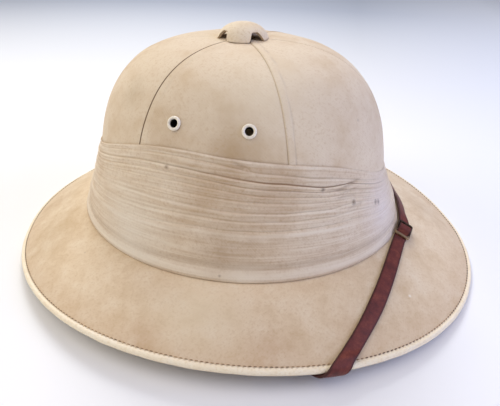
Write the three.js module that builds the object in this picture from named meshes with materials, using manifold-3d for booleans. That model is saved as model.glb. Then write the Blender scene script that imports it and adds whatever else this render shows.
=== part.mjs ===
// Pith helmet: a cloth-covered dome of six panels on a stiff sloping brim, with a pleated band,
// a lobed ventilator cap, four eyelets and a leather chin strap laid over the brim and round the front.
// Millimetres. +X is the front, -Y the wearer's right, +Z up. The rim rests on z = 0.
import * as THREE from 'three';
import { mergeVertices } from 'three/addons/utils/BufferGeometryUtils.js';
import Module from 'manifold-3d';

const wasm = await Module();
wasm.setup();

// Overall size
const LENGTH = 342; // front to back over the binding
const WIDTH = 299; // side to side over the binding
const GAP = 0.3; // clearance between touching pieces

// Dome, measured over its cloth
const DOME_X = -2.8; // dome axis behind the middle of the brim
const DOME_HALF_LENGTH = 102.6;
const DOME_HALF_WIDTH = 88.8;
const DOME_BASE = 30.6; // height of the dome's foot
const DOME_HEIGHT = 115.6; // foot to top
const DOME_RISE_POWER = 3.04; // superellipse powers of the upright section
const DOME_REACH_POWER = 3.21;
const DOME_TAPER = 0.04; // share by which the dome narrows on the way up
const FLARE = 7; // spread of the foot into the brim
const FLARE_HEIGHT = 30;
const PANEL_CLOTH = 1.2;
const PITH_WALL = 5.2;
const FOOT_OUTSIDE = 1.45; // how far the dome's lower edge stands above its foot line
const FOOT_INSIDE = 2.3;
const FLARE_HEIGHTS = [8, 18]; // rows of the flared foot
const FIRST_ROW = 8; // degrees along the superellipse, where the rounded rows start
const LAST_ROW = 89; // and where they stop, at the ventilator's hole
const ROUND_STEPS = 8;
const SEAMS = [-119.3, -64.2, 0, 64.2, 119.3, 180, 240.7]; // degrees, the last repeats the first
const SEAM_WIDTH = 0.5;
const PANEL_COLUMNS = 7;

// Brim
const BRIM_INSIDE = -0.29; // inner edge, as a share of the brim's width inside the band's foot
const BRIM_INSIDE_RISE = 2;
const BRIM_ROWS = [BRIM_INSIDE, 0, 0.22, 0.48, 0.74, 1]; // shares of the width, out to the rim
const BRIM_BULGE = 2; // height of the brim's soft outward curve
const BRIM_INNER_THICKNESS = 3.6;
const BRIM_RIM_THICKNESS = 2.4;
const RIM_INSET = 2.2; // rim of the brim inside the binding's outer face
const RIM_HEIGHT = 3; // top of the rim at front and back
const SIDE_LIFT = 14.5; // rise of the rim at the sides
const REST_FLAT = 1.3; // the lowest part of that rise, pressed flat by the helmet's own weight

// Binding, a folded edging round the rim
const BINDING_LEG = 1.8; // how far it reaches over the brim
const BINDING_WALL = 0.9;
const BINDING_CLEARANCE = 0.4; // to the brim's two faces
const BINDING_SLOT = BRIM_RIM_THICKNESS + 2 * BINDING_CLEARANCE;
const BINDING_NOSE = BINDING_SLOT / 2 + BINDING_WALL;
const NOSE_STEPS = 4;

// Puggaree, the pleated band
const BAND_HALF_LENGTH = 116.5; // at its foot on the brim
const BAND_HALF_WIDTH = 100.6;
const BAND_HEIGHT = 59.1; // mean height
const BAND_WAVES = [1.7, 14.5, 0.5, 2.1, 1.3]; // drops of its top at the front, once to five times round
const BAND_TOP_THICKNESS = 1.6;
const BAND_CLEARANCE = 0.5;
const BAND_INNER_ROWS = [0.15, 0.3, 0.48, 0.66, 0.83, 0.985];
const PLEAT_END_DEPTH = 0.5; // share of each fold's step that is left at the front and back
const PLEAT_TUCK = 0.012; // share of the height that each fold tucks behind the one below
const PLEATS = [
  { top: 1, step: 1.2 },
  { top: 0.925, step: 1 },
  { top: 0.83, step: 1.7 },
  { top: 0.765, step: 1.1 },
  { top: 0.69, step: 1.1 },
  { top: 0.6, step: 1.1 },
  { top: 0.52, step: 1.1 },
  { top: 0.45, step: 1.1 },
];
const BAND_LOWER_ROWS = [ // pressed is what the strap leaves of each at the front
  { height: 0.29, out: 0.9, pressed: 0.9 },
  { height: 0.14, out: -0.5, pressed: -0.5 },
  { height: 0.11, out: 0.9, pressed: -0.45 },
  { height: 0.05, out: 0.8, pressed: -0.45 },
  { height: 0, out: 0, pressed: 0 },
];
const BAND_PRESS_ANGLES = [20, 32]; // degrees from the front, between which the strap leaves the band

// Ventilator cap
const CAP_RADIUS = 15.4;
const CAP_HEIGHT = 9.3;
const CAP_WALL = 1.8;
const CAP_LOBES = 4;
const CAP_FLARE = 1; // outward curl of each lobe's lower edge
const CAP_ARCH = 34; // degrees of the cap's upright section that each air gap takes away
const CAP_GAP_EDGES = [0.55, 0.95]; // shares of the lobe wave over which a lobe turns up into a gap
const CAP_REACH_POWER = 0.85; // fullness of the upright section
const CAP_RISE_POWER = 0.9;
const CAP_CURL_POWER = 6; // how close to the lower edge the curl stays
const CAP_COLUMNS = 36;
const CAP_ROWS = 5;
const STEM_RADIUS = 5;
const STEM_LENGTH = 20;

// Eyelets
const EYELET_ANGLES = [-105.7, -77.4]; // degrees round the dome, mirrored to the other side
const EYELET_LEVEL = 0.729; // share of the dome's height
const EYELET_RADIUS = 4.1;
const EYELET_BORE = 2.3;
const EYELET_TUBE = 2.75;
const EYELET_DEPTH = 8.2;
const EYELET_LIP = 1.2;
const EYELET_BEVEL = 0.2;
const EYELET_ROLL = 0.85; // bore to the lip's crest
const EYELET_SIDES = 14;

// Chin strap
const STRAP_WIDTH = 8.6;
const STRAP_THICKNESS = 1.6;
const STRAP_FRONT = 0.086; // share of the brim's width at which its middle runs beside the band
const STRAP_FRONT_ANGLE = 14.5; // degrees each side of the front before it turns outwards
const STRAP_RIM_ANGLE = 62.5; // degrees at which it goes over the rim
const STRAP_CURVE = 1.95;
const STRAP_TUCK = 0.075; // share by which it comes in at the very front
const STRAP_TILT = 32; // degrees by which it leans onto the band there
const STRAP_RIGHT_LEAN = [0, 9]; // degrees from the front, between which it comes down onto the brim
const STRAP_LEFT_LEAN = [12, 34];
const STRAP_OPEN_ANGLE = 55; // degrees, end of the stretch that lies on the open brim
const STRAP_TOP_STEP = 5; // degrees
const STRAP_CLIMB = [BINDING_LEG + 0.6, BINDING_LEG + 5]; // from the rim, where it climbs onto the binding
const STRAP_SLANT = 50; // degrees between the strap and the straight way over the rim
const STRAP_END_ANGLE = 101; // degrees, under the brim
const STRAP_END = -0.2;
const STRAP_UNDER_GAP = 0.6; // to the brim's underside, which is flat between its columns
const STRAP_UNDER_STEPS = 9;
const STRAP_NOSE_STEPS = 6;
const STRAP_TURN = [8, 28]; // from the rim, where its rows swing round from lying along the rim

// Slide on the strap
const SLIDE_SIDE = -1; // the right side
const SLIDE_ANGLE = 13.4; // degrees from the front
const SLIDE_WIDTH = 11;
const SLIDE_THICKNESS = 1.6;
const SLIDE_END_BAR = 2;
const SLIDE_SLOT = 5;
const SLIDE_MIDDLE_BAR = 2.4;
const SLIDE_SLOT_WIDTH = 9.4;
const SLIDE_CORNER = 1.6;
const SLIDE_SLOT_CORNER = 0.4;
const SLIDE_STRAP_CLEAR = 0.4; // strap to bar, where it climbs through a slot
const SLIDE_STRAP_RUN = 3; // straight strap kept beyond the slots
const SLIDE_LIFT = 0.3; // of that straight stretch above the strap's own bed

// Rivets that hold the strap's ends
const RIVET_HEAD = 4;
const RIVET_HEAD_THICKNESS = 1.2;
const RIVET_SHANK = 1.8;
const RIVET_BEVEL = 0.5;
const RIVET_HOLE = 20; // through the strap and the brim
const RIVET_FROM_END = 7;
const RIVET_SIDES = 12;

const radians = THREE.MathUtils.degToRad;
const mix = THREE.MathUtils.lerp;
const spread = (from, to, steps) => Array.from({ length: steps + 1 }, (_, i) => mix(from, to, i / steps));

// Solids

function makeGeometry(positions, triangles) {
  const geometry = new THREE.BufferGeometry();
  geometry.setAttribute('position', new THREE.Float32BufferAttribute(positions, 3));
  geometry.setIndex(triangles);
  geometry.computeVertexNormals();
  return geometry;
}

function signedVolume(points, triangles) {
  let volume = 0;
  for (let i = 0; i < triangles.length; i += 3) {
    const [a, b, c] = triangles.slice(i, i + 3).map((index) => points[index]);
    volume += a.dot(new THREE.Vector3().crossVectors(b, c)) / 6;
  }
  return volume;
}

// A closed solid through sections that are loops of as many points each. A loop runs along one face
// of the piece and back along the other, so an open sweep is capped by a strip between the two.
function sweep(sections, closed) {
  const count = sections[0].length;
  const points = sections.flat();
  const triangles = [];
  const addTriangle = (...corners) => {
    const [a, b, c] = corners.map((index) => points[index]);
    const collapsed = a.distanceTo(b) < 1e-6 || b.distanceTo(c) < 1e-6 || c.distanceTo(a) < 1e-6;
    if (!collapsed) triangles.push(...corners);
  };
  const addQuad = (a, b, c, d) => {
    addTriangle(a, b, c);
    addTriangle(a, c, d);
  };
  const spans = closed ? sections.length : sections.length - 1;
  for (let i = 0; i < spans; i += 1) {
    const here = i * count;
    const next = ((i + 1) % sections.length) * count;
    for (let j = 0; j < count; j += 1) {
      const k = (j + 1) % count;
      addQuad(here + j, here + k, next + k, next + j);
    }
  }
  if (!closed) {
    const last = (sections.length - 1) * count;
    for (let j = 0; j < count / 2 - 1; j += 1) {
      const across = count - 1 - j;
      addQuad(across, across - 1, j + 1, j);
      addQuad(last + j, last + j + 1, last + across - 1, last + across);
    }
  }
  if (signedVolume(points, triangles) < 0) triangles.reverse();
  return makeGeometry(points.flatMap((point) => point.toArray()), triangles);
}

function toSolid(geometry) {
  const bare = geometry.clone();
  bare.deleteAttribute('normal');
  bare.deleteAttribute('uv');
  const merged = mergeVertices(bare, 1e-4);
  const vertProperties = new Float32Array(merged.getAttribute('position').array);
  const triVerts = new Uint32Array(merged.getIndex().array);
  return new wasm.Manifold(new wasm.Mesh({ numProp: 3, vertProperties, triVerts }));
}

function fromSolid(solid) {
  const mesh = solid.getMesh();
  return makeGeometry(Array.from(mesh.vertProperties), Array.from(mesh.triVerts));
}

function cut(geometry, tools) {
  return fromSolid(tools.reduce((solid, tool) => solid.subtract(toSolid(tool)), toSolid(geometry)));
}

// Turns a geometry made along +Y to stand at a point along a direction.
function stand(geometry, point, direction) {
  const turn = new THREE.Quaternion().setFromUnitVectors(new THREE.Vector3(0, 1, 0), direction);
  return geometry.applyQuaternion(turn).translate(point.x, point.y, point.z);
}

// Turned solid from a closed outline of [radius, height] pairs.
function turned(outline, sides) {
  const points = [...outline, outline[0]].map(([radius, height]) => new THREE.Vector2(radius, height));
  return new THREE.LatheGeometry(points, sides);
}

// Unit vectors of a surface given by a function of two shares, by small steps.
function surfaceFrame(surface, angle, share) {
  const step = 1e-3;
  const along = surface(angle, share).sub(surface(angle, share - step)).normalize();
  const across = surface(angle + step, share).sub(surface(angle - step, share)).normalize();
  const normal = new THREE.Vector3().crossVectors(along, across).normalize();
  return { along, normal };
}

// Dome

const panelAngles = SEAMS.slice(0, -1).map((seam, i) => (
  spread(seam, SEAMS[i + 1], PANEL_COLUMNS).map(radians)
));
const roundAngles = panelAngles.flatMap((angles) => angles.slice(0, -1));

function domePoint(angle, level, inset = 0) {
  const reach = (1 - level ** DOME_RISE_POWER) ** (1 / DOME_REACH_POWER) * (1 - DOME_TAPER * level);
  const flare = FLARE * Math.max(0, 1 - (level * DOME_HEIGHT) / FLARE_HEIGHT) ** 2;
  return new THREE.Vector3(
    DOME_X + ((DOME_HALF_LENGTH - inset) * reach + flare) * Math.cos(angle),
    ((DOME_HALF_WIDTH - inset) * reach + flare) * Math.sin(angle),
    DOME_BASE + (DOME_HEIGHT - inset) * level,
  );
}

const domeLevel = (height) => height / DOME_HEIGHT;
const roundLevels = spread(FIRST_ROW, LAST_ROW, ROUND_STEPS).map(
  (degrees) => Math.sin(radians(degrees)) ** (2 / DOME_RISE_POWER),
);
const flareLevels = FLARE_HEIGHTS.map(domeLevel);
const domeTop = DOME_BASE + DOME_HEIGHT;

function eyeletPlaces(side) {
  return EYELET_ANGLES.map((degrees) => {
    const angle = side * radians(degrees);
    const outward = surfaceFrame(domePoint, angle, EYELET_LEVEL).normal.negate();
    return { point: domePoint(angle, EYELET_LEVEL), outward };
  });
}

function eyeletHole({ point, outward }) {
  const depth = 3 * EYELET_DEPTH;
  const radius = EYELET_TUBE + GAP;
  return stand(new THREE.CylinderGeometry(radius, radius, depth, EYELET_SIDES), point, outward);
}

function crown(holes) {
  const outerInset = PANEL_CLOTH + GAP;
  const innerInset = outerInset + PITH_WALL;
  const outerLevels = [domeLevel(FOOT_OUTSIDE), ...flareLevels, ...roundLevels];
  const innerLevels = [domeLevel(FOOT_INSIDE), flareLevels[1], ...roundLevels.filter((_, i) => i % 2 === 0)];
  const sections = roundAngles.map((angle) => [
    ...outerLevels.map((level) => domePoint(angle, level, outerInset)),
    ...innerLevels.toReversed().map((level) => domePoint(angle, level, innerInset)),
  ]);
  return cut(sweep(sections, true), holes);
}

function crownPanel(angles, holes) {
  const levels = [flareLevels[1], ...roundLevels];
  const seamTurn = (level) => {
    const reach = domePoint(0, level).x - DOME_X;
    return Math.asin(SEAM_WIDTH / 2 / reach);
  };
  const middle = (angles[0] + angles.at(-1)) / 2;
  const half = (angles.at(-1) - angles[0]) / 2;
  const sections = angles.map((angle) => {
    const place = (level, inset) => {
      const kept = 1 - seamTurn(level) / half;
      return domePoint(middle + (angle - middle) * kept, level, inset);
    };
    return [
      ...levels.map((level) => place(level, 0)),
      ...levels.toReversed().map((level) => place(level, PANEL_CLOTH)),
    ];
  });
  const panel = sweep(sections, false);
  return holes.length > 0 ? cut(panel, holes) : panel;
}

function eyelet({ point, outward }) {
  const outline = [
    [EYELET_BORE, -EYELET_DEPTH],
    [EYELET_TUBE, -EYELET_DEPTH],
    [EYELET_TUBE, GAP],
    [EYELET_RADIUS, GAP],
    [EYELET_RADIUS - EYELET_BEVEL, EYELET_LIP],
    [EYELET_BORE + EYELET_ROLL, EYELET_LIP + GAP],
    [EYELET_BORE, EYELET_LIP / 2],
  ];
  return stand(turned(outline, EYELET_SIDES), point, outward);
}

// Brim

function rimHeight(angle) {
  return RIM_HEIGHT + Math.max(0, SIDE_LIFT * Math.sin(angle) ** 2 - REST_FLAT);
}

function brimTop(angle, share) {
  const footX = DOME_X + BAND_HALF_LENGTH * Math.cos(angle);
  const footY = BAND_HALF_WIDTH * Math.sin(angle);
  const rimX = (LENGTH / 2 - RIM_INSET) * Math.cos(angle);
  const rimY = (WIDTH / 2 - RIM_INSET) * Math.sin(angle);
  const slope = mix(DOME_BASE, rimHeight(angle), share) + 4 * BRIM_BULGE * share * (1 - share);
  const inside = DOME_BASE + (BRIM_INSIDE_RISE * share) / BRIM_INSIDE;
  return new THREE.Vector3(mix(footX, rimX, share), mix(footY, rimY, share), share > 0 ? slope : inside);
}

function brimFrame(angle, share) {
  return surfaceFrame(brimTop, angle, share);
}

function brimThickness(share) {
  return mix(BRIM_INNER_THICKNESS, BRIM_RIM_THICKNESS, Math.max(0, share));
}

function brimBottom(angle, share) {
  return brimTop(angle, share).addScaledVector(brimFrame(angle, share).normal, -brimThickness(share));
}

function brimWidth(angle) {
  return brimTop(angle, 0).distanceTo(brimTop(angle, 1));
}

function brim(holes) {
  const sections = roundAngles.map((angle) => [
    ...BRIM_ROWS.map((share) => brimTop(angle, share)),
    ...BRIM_ROWS.toReversed().map((share) => brimBottom(angle, share)),
  ]);
  return cut(sweep(sections, true), holes);
}

// Middle of the rim's thickness, with the directions out along the brim and up through it
function rimFrame(angle) {
  const { along, normal } = brimFrame(angle, 1);
  const middle = brimTop(angle, 1).addScaledVector(normal, -BRIM_RIM_THICKNESS / 2);
  const centre = middle.addScaledVector(along, GAP);
  const place = (out, up) => centre.clone().addScaledVector(along, out).addScaledVector(normal, up);
  return { along, normal, place };
}

function brimBinding() {
  const slot = BINDING_SLOT / 2;
  const legEnd = -BINDING_LEG - GAP;
  const nose = spread(90, -90, NOSE_STEPS).map(radians);
  const outline = [
    [legEnd, BINDING_NOSE],
    ...nose.map((turn) => [BINDING_NOSE * Math.cos(turn), BINDING_NOSE * Math.sin(turn)]),
    [legEnd, -BINDING_NOSE],
    [legEnd, -slot],
    [GAP, -slot],
    [GAP, slot],
    [legEnd, slot],
  ];
  const sections = roundAngles.map((angle) => {
    const { place } = rimFrame(angle);
    return outline.map(([out, up]) => {
      const point = place(out, up);
      point.z = Math.max(0, point.z);
      return point;
    });
  });
  return sweep(sections, true);
}

// Puggaree

function bandHeight(angle) {
  return BAND_WAVES.reduce((height, drop, i) => height - drop * Math.cos((i + 1) * angle), BAND_HEIGHT);
}

function bandOutside(angle, share, out) {
  const top = domePoint(angle, domeLevel(bandHeight(angle)), -BAND_TOP_THICKNESS);
  const foot = brimTop(angle, 0).setZ(DOME_BASE + GAP);
  const outward = new THREE.Vector3(Math.cos(angle), Math.sin(angle), 0);
  return foot.lerp(top, share).addScaledVector(outward, out);
}

function puggaree() {
  const pleatRows = PLEATS.flatMap(({ top, step }, i) => {
    const tuck = { height: top + PLEAT_TUCK, out: 0 };
    return i === 0 ? [{ height: top, out: step }] : [tuck, { height: top, out: step }];
  });
  const sections = roundAngles.map((angle) => {
    const heights = [FOOT_OUTSIDE, ...BAND_INNER_ROWS.map((share) => share * bandHeight(angle))];
    const depth = mix(PLEAT_END_DEPTH, 1, Math.sin(angle) ** 2);
    const fromFront = Math.acos(Math.cos(angle));
    const free = THREE.MathUtils.smoothstep(fromFront, ...BAND_PRESS_ANGLES.map(radians));
    const lowerOut = ({ out, pressed }) => mix(pressed, out, free);
    return [
      ...pleatRows.map(({ height, out }) => bandOutside(angle, height, out * depth)),
      ...BAND_LOWER_ROWS.map((row) => bandOutside(angle, row.height, lowerOut(row))),
      ...heights.map((height) => domePoint(angle, domeLevel(height), -BAND_CLEARANCE)),
    ];
  });
  return sweep(sections, true);
}

// Ventilator cap

function capPoint(angle, share, inset) {
  const lobe = (1 - Math.cos(CAP_LOBES * angle)) / 2;
  const open = THREE.MathUtils.smoothstep(lobe, ...CAP_GAP_EDGES);
  const polar = radians(90 - CAP_ARCH * open) * share;
  const curl = CAP_FLARE * (1 - open) * share ** CAP_CURL_POWER;
  const radius = (CAP_RADIUS - inset) * Math.sin(polar) ** CAP_REACH_POWER + curl;
  return new THREE.Vector3(
    DOME_X + radius * Math.cos(angle),
    radius * Math.sin(angle),
    domeTop + (CAP_HEIGHT - inset) * Math.max(0, Math.cos(polar)) ** CAP_RISE_POWER,
  );
}

function ventilatorCap() {
  const angles = spread(0, 2 * Math.PI, CAP_COLUMNS).slice(0, -1);
  const shares = spread(0, 1, CAP_ROWS);
  const sections = angles.map((angle) => [
    ...shares.map((share) => capPoint(angle, share, 0)),
    ...shares.toReversed().map((share) => capPoint(angle, share, CAP_WALL)),
  ]);
  const stem = new THREE.CylinderGeometry(STEM_RADIUS, STEM_RADIUS, STEM_LENGTH, EYELET_SIDES);
  const stemTop = domeTop + CAP_HEIGHT - CAP_WALL / 2;
  stand(stem, new THREE.Vector3(DOME_X, 0, stemTop - STEM_LENGTH / 2), new THREE.Vector3(0, 0, 1));
  return fromSolid(toSolid(sweep(sections, true)).add(toSolid(stem)));
}

// Chin strap. Its places are an angle round the helmet and a distance over the brim: below zero
// on top, inwards from the rim, then round the binding's nose, then inwards again underneath.

const noseRadius = BINDING_NOSE + GAP;
const noseLength = Math.PI * noseRadius;
const bindingLift = BINDING_NOSE - BRIM_RIM_THICKNESS / 2 + GAP;

// The strap rises from the brim's cloth onto the binding's leg.
function strapLift(inwards, bed) {
  return mix(bindingLift, bed, THREE.MathUtils.smoothstep(inwards, ...STRAP_CLIMB));
}

function strapSurface(angle, distance) {
  if (distance >= 0 && distance <= noseLength) {
    const { along, normal, place } = rimFrame(angle);
    const turn = Math.PI / 2 - distance / noseRadius;
    const outward = along.clone().multiplyScalar(Math.cos(turn)).addScaledVector(normal, Math.sin(turn));
    return { point: place(0, 0).addScaledVector(outward, noseRadius), outward };
  }
  const below = distance > 0;
  const inwards = below ? distance - noseLength : -distance;
  const share = 1 - inwards / brimWidth(angle);
  const { along, normal } = brimFrame(angle, share);
  const outward = below ? normal.clone().negate() : normal;
  const surface = below ? brimBottom(angle, share) : brimTop(angle, share);
  const lift = strapLift(inwards, below ? STRAP_UNDER_GAP : GAP);
  const onNose = THREE.MathUtils.clamp(1 - inwards / BINDING_LEG, 0, 1);
  const point = surface.addScaledVector(outward, lift).addScaledVector(along, GAP * onNose);
  return { point, outward };
}

// Distance of the strap's middle on top of the brim, curving out from the front to the rim
function strapDistance(angle, side) {
  const start = radians(STRAP_FRONT_ANGLE);
  const turned = Math.max(0, angle - start) / (radians(STRAP_RIM_ANGLE) - start);
  const share = mix(STRAP_FRONT, 1, turned ** STRAP_CURVE) - STRAP_TUCK * strapLean(angle, side);
  return (share - 1) * brimWidth(angle);
}

// 1 at the front, where the strap leans onto the band, and 0 once it lies on the brim
function strapLean(angle, side) {
  const limits = side < 0 ? STRAP_RIGHT_LEAN : STRAP_LEFT_LEAN;
  return 1 - THREE.MathUtils.smoothstep(angle, ...limits.map(radians));
}

// Places of half the strap's middle line, from the front to its end under the brim, at positive angles
function strapRoute(side) {
  const rim = radians(STRAP_RIM_ANGLE);
  const openSteps = Math.round(STRAP_OPEN_ANGLE / STRAP_TOP_STEP);
  const open = spread(0, STRAP_OPEN_ANGLE, openSteps).map(radians).map((angle) => (
    { angle, distance: strapDistance(angle, side) }
  ));
  const climb = [STRAP_CLIMB[1], STRAP_CLIMB[0], 0].map((inwards) => {
    const turned = (1 - inwards / brimWidth(rim) - STRAP_FRONT) / (1 - STRAP_FRONT);
    const degrees = mix(STRAP_FRONT_ANGLE, STRAP_RIM_ANGLE, turned ** (1 / STRAP_CURVE));
    return { angle: radians(degrees), distance: -inwards };
  });
  const nose = spread(0, noseLength, STRAP_NOSE_STEPS).slice(1).map((distance) => (
    { angle: rim + strapSlant() * distance, distance }
  ));
  const inner = spread(STRAP_CLIMB[1], strapUnderLength(), STRAP_UNDER_STEPS);
  const under = [STRAP_CLIMB[0], ...inner].map(strapUnder);
  return [...open, ...climb, ...nose, ...under];
}

function strapUnderLength() {
  return (1 - STRAP_END) * brimWidth(radians(STRAP_END_ANGLE));
}

// Place of the strap's middle under the brim, a distance inwards from the rim
function strapUnder(inwards) {
  const leave = radians(STRAP_RIM_ANGLE) + strapSlant() * noseLength;
  const angle = mix(leave, radians(STRAP_END_ANGLE), inwards / strapUnderLength());
  return { angle, distance: noseLength + inwards };
}

// Angle that the strap gains for each millimetre over the rim
function strapSlant() {
  return Math.tan(radians(STRAP_SLANT)) / alongRim(radians(STRAP_RIM_ANGLE), 0);
}

// Millimetres along the surface for each radian round the helmet
function alongRim(angle, distance) {
  const step = 1e-3;
  const [before, after] = [angle - step, angle + step].map((turn) => strapSurface(turn, distance).point);
  return before.distanceTo(after) / (2 * step);
}

// Half the strap's width as an angle and a distance, square to the strap on the open brim
// and along the rim where it goes over it
function strapHalfWidth(route, index) {
  const before = route[Math.max(0, index - 1)];
  const after = route[Math.min(route.length - 1, index + 1)];
  const { angle, distance } = route[index];
  const scale = alongRim(angle, distance);
  const run = new THREE.Vector2((after.angle - before.angle) * scale, after.distance - before.distance);
  const square = new THREE.Vector2(run.y, -run.x).setLength(STRAP_WIDTH / 2);
  const slanted = new THREE.Vector2(STRAP_WIDTH / 2 / Math.cos(radians(STRAP_SLANT)), 0);
  const fromRim = distance < 0 ? -distance : Math.max(0, distance - noseLength);
  const near = 1 - THREE.MathUtils.smoothstep(fromRim, ...STRAP_TURN);
  const half = square.lerp(slanted, near);
  return { angle: half.x / scale, distance: half.y };
}

function strapTilt(place, side) {
  return place.distance < 0 ? radians(STRAP_TILT) * strapLean(place.angle, side) : 0;
}

// Three points across the strap, leaning about its outer edge, with the direction away from its bed
function strapAcross(place, half, side) {
  const flat = [-1, 0, 1].map((share) => {
    const angle = side * (place.angle + share * half.angle);
    return strapSurface(angle, place.distance + share * half.distance);
  });
  const edge = flat[0].point.clone();
  const inwards = flat[2].point.clone().sub(edge);
  const axis = inwards.cross(flat[0].outward).normalize();
  const tilt = strapTilt(place, side);
  return flat.map(({ point, outward }) => ({
    point: point.clone().sub(edge).applyAxisAngle(axis, tilt).add(edge),
    outward: outward.clone().applyAxisAngle(axis, tilt),
  }));
}

function strapSection(across) {
  const top = across.map(({ point, outward }) => point.clone().addScaledVector(outward, STRAP_THICKNESS));
  return [...across.map(({ point }) => point), ...top.reverse()];
}

function strapSections(side) {
  const route = strapRoute(side);
  return route.map((place, i) => strapSection(strapAcross(place, strapHalfWidth(route, i), side)));
}

// Slide. The strap runs straight there, and climbs through the slots and over the middle bar.

const slideUnder = GAP + STRAP_THICKNESS;
const slideRise = slideUnder + SLIDE_THICKNESS + GAP;
const slideLength = 2 * SLIDE_END_BAR + 2 * SLIDE_SLOT + SLIDE_MIDDLE_BAR;
const strapHigh = SLIDE_MIDDLE_BAR / 2 + SLIDE_STRAP_CLEAR;
const strapLow = SLIDE_MIDDLE_BAR / 2 + SLIDE_SLOT - SLIDE_STRAP_CLEAR;
const strapStraight = strapLow + SLIDE_STRAP_RUN;

function slidePlace(along) {
  const middle = radians(SLIDE_ANGLE);
  const scale = alongRim(middle, strapDistance(middle, SLIDE_SIDE));
  const angle = middle + along / scale;
  return { angle, distance: strapDistance(angle, SLIDE_SIDE) };
}

// Along the strap, outwards over the brim, and up from the strap's underside
function slideFrame() {
  const route = [-1, 0, 1].map(slidePlace);
  const half = strapHalfWidth(route, 1);
  const [before, middle, after] = route.map((place) => strapAcross(place, half, SLIDE_SIDE)[1]);
  const { point, outward } = middle;
  const run = after.point.sub(before.point);
  const along = run.addScaledVector(outward, -run.dot(outward)).normalize();
  const across = new THREE.Vector3().crossVectors(outward, along);
  const seat = point.clone().addScaledVector(outward, SLIDE_LIFT);
  return new THREE.Matrix4().makeBasis(along, across, outward).setPosition(seat);
}

function slideSections() {
  const frame = slideFrame();
  const outward = new THREE.Vector3().setFromMatrixColumn(frame, 2);
  const half = STRAP_WIDTH / 2;
  const rows = [-strapStraight, -strapLow, -strapHigh, strapHigh, strapLow, strapStraight];
  return rows.map((along) => {
    const rise = Math.abs(along) > strapHigh ? 0 : slideRise;
    const place = (across) => new THREE.Vector3(along, across, rise).applyMatrix4(frame);
    return strapSection([half, 0, -half].map((across) => ({ point: place(across), outward })));
  });
}

function chinStrap(holes) {
  const route = strapRoute(SLIDE_SIDE);
  const slideStart = slidePlace(-strapStraight).angle;
  const slideEnd = slidePlace(strapStraight).angle;
  const right = strapSections(SLIDE_SIDE);
  const front = right.filter((_, i) => route[i].angle < slideStart);
  const rest = right.filter((_, i) => route[i].angle > slideEnd);
  const left = strapSections(-SLIDE_SIDE).slice(1);
  return cut(sweep([...[...front, ...slideSections(), ...rest].reverse(), ...left], false), holes);
}

function roundedBox(path, middleX, length, width, corner) {
  const x = length / 2 - corner;
  const y = width / 2 - corner;
  path.absarc(middleX + x, -y, corner, -Math.PI / 2, 0);
  path.absarc(middleX + x, y, corner, 0, Math.PI / 2);
  path.absarc(middleX - x, y, corner, Math.PI / 2, Math.PI);
  path.absarc(middleX - x, -y, corner, Math.PI, Math.PI * 1.5);
  path.closePath();
  return path;
}

function strapSlide() {
  const plate = roundedBox(new THREE.Shape(), 0, slideLength, SLIDE_WIDTH, SLIDE_CORNER);
  const slotMiddle = (SLIDE_MIDDLE_BAR + SLIDE_SLOT) / 2;
  plate.holes = [-slotMiddle, slotMiddle].map((x) => (
    roundedBox(new THREE.Path(), x, SLIDE_SLOT, SLIDE_SLOT_WIDTH, SLIDE_SLOT_CORNER)
  ));
  const settings = { depth: SLIDE_THICKNESS, bevelEnabled: false, curveSegments: 2 };
  return new THREE.ExtrudeGeometry(plate, settings).translate(0, 0, slideUnder).applyMatrix4(slideFrame());
}

// Rivets

function rivetPlace(side) {
  const { angle, distance } = strapUnder(strapUnderLength() - RIVET_FROM_END);
  return strapSurface(side * angle, distance);
}

function rivetHole({ point, outward }) {
  const radius = RIVET_SHANK + GAP;
  return stand(new THREE.CylinderGeometry(radius, radius, RIVET_HOLE, RIVET_SIDES), point, outward);
}

function strapRivet({ point, outward }) {
  const headUnder = STRAP_THICKNESS + GAP;
  const shankEnd = -GAP - BRIM_RIM_THICKNESS;
  const outline = [
    [0, headUnder + RIVET_HEAD_THICKNESS],
    [0, shankEnd],
    [RIVET_SHANK, shankEnd],
    [RIVET_SHANK, headUnder],
    [RIVET_HEAD, headUnder],
    [RIVET_HEAD - RIVET_BEVEL, headUnder + RIVET_HEAD_THICKNESS],
  ];
  return stand(turned(outline, RIVET_SIDES), point, outward);
}

// Assembly

const cloth = { color: 0xd6c1a1, roughness: 0.95, metalness: 0 };
const MATERIALS = {
  pith: { color: 0xd9c39a, roughness: 0.95, metalness: 0 },
  cloth,
  band: { ...cloth, color: 0xcbb392 },
  binding: { ...cloth, color: 0xecdcbc },
  leather: { color: 0x6b3a33, roughness: 0.55, metalness: 0 },
  enamel: { color: 0xded6c4, roughness: 0.4, metalness: 0.1 },
  metal: { color: 0x8f8574, roughness: 0.45, metalness: 0.9 },
};

const helmet = new THREE.Group();

function addPiece(name, geometry, material) {
  const mesh = new THREE.Mesh(geometry, new THREE.MeshStandardMaterial(MATERIALS[material]));
  mesh.name = name;
  helmet.add(mesh);
}

const eyeletsRight = eyeletPlaces(1);
const eyeletsLeft = eyeletPlaces(-1);
const eyelets = [...eyeletsRight, ...eyeletsLeft];
const rivets = { right: rivetPlace(-1), left: rivetPlace(1) };
const rivetHoles = Object.values(rivets).map(rivetHole);
const panelHoles = [eyeletsRight, [], [], eyeletsLeft, [], []];

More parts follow.
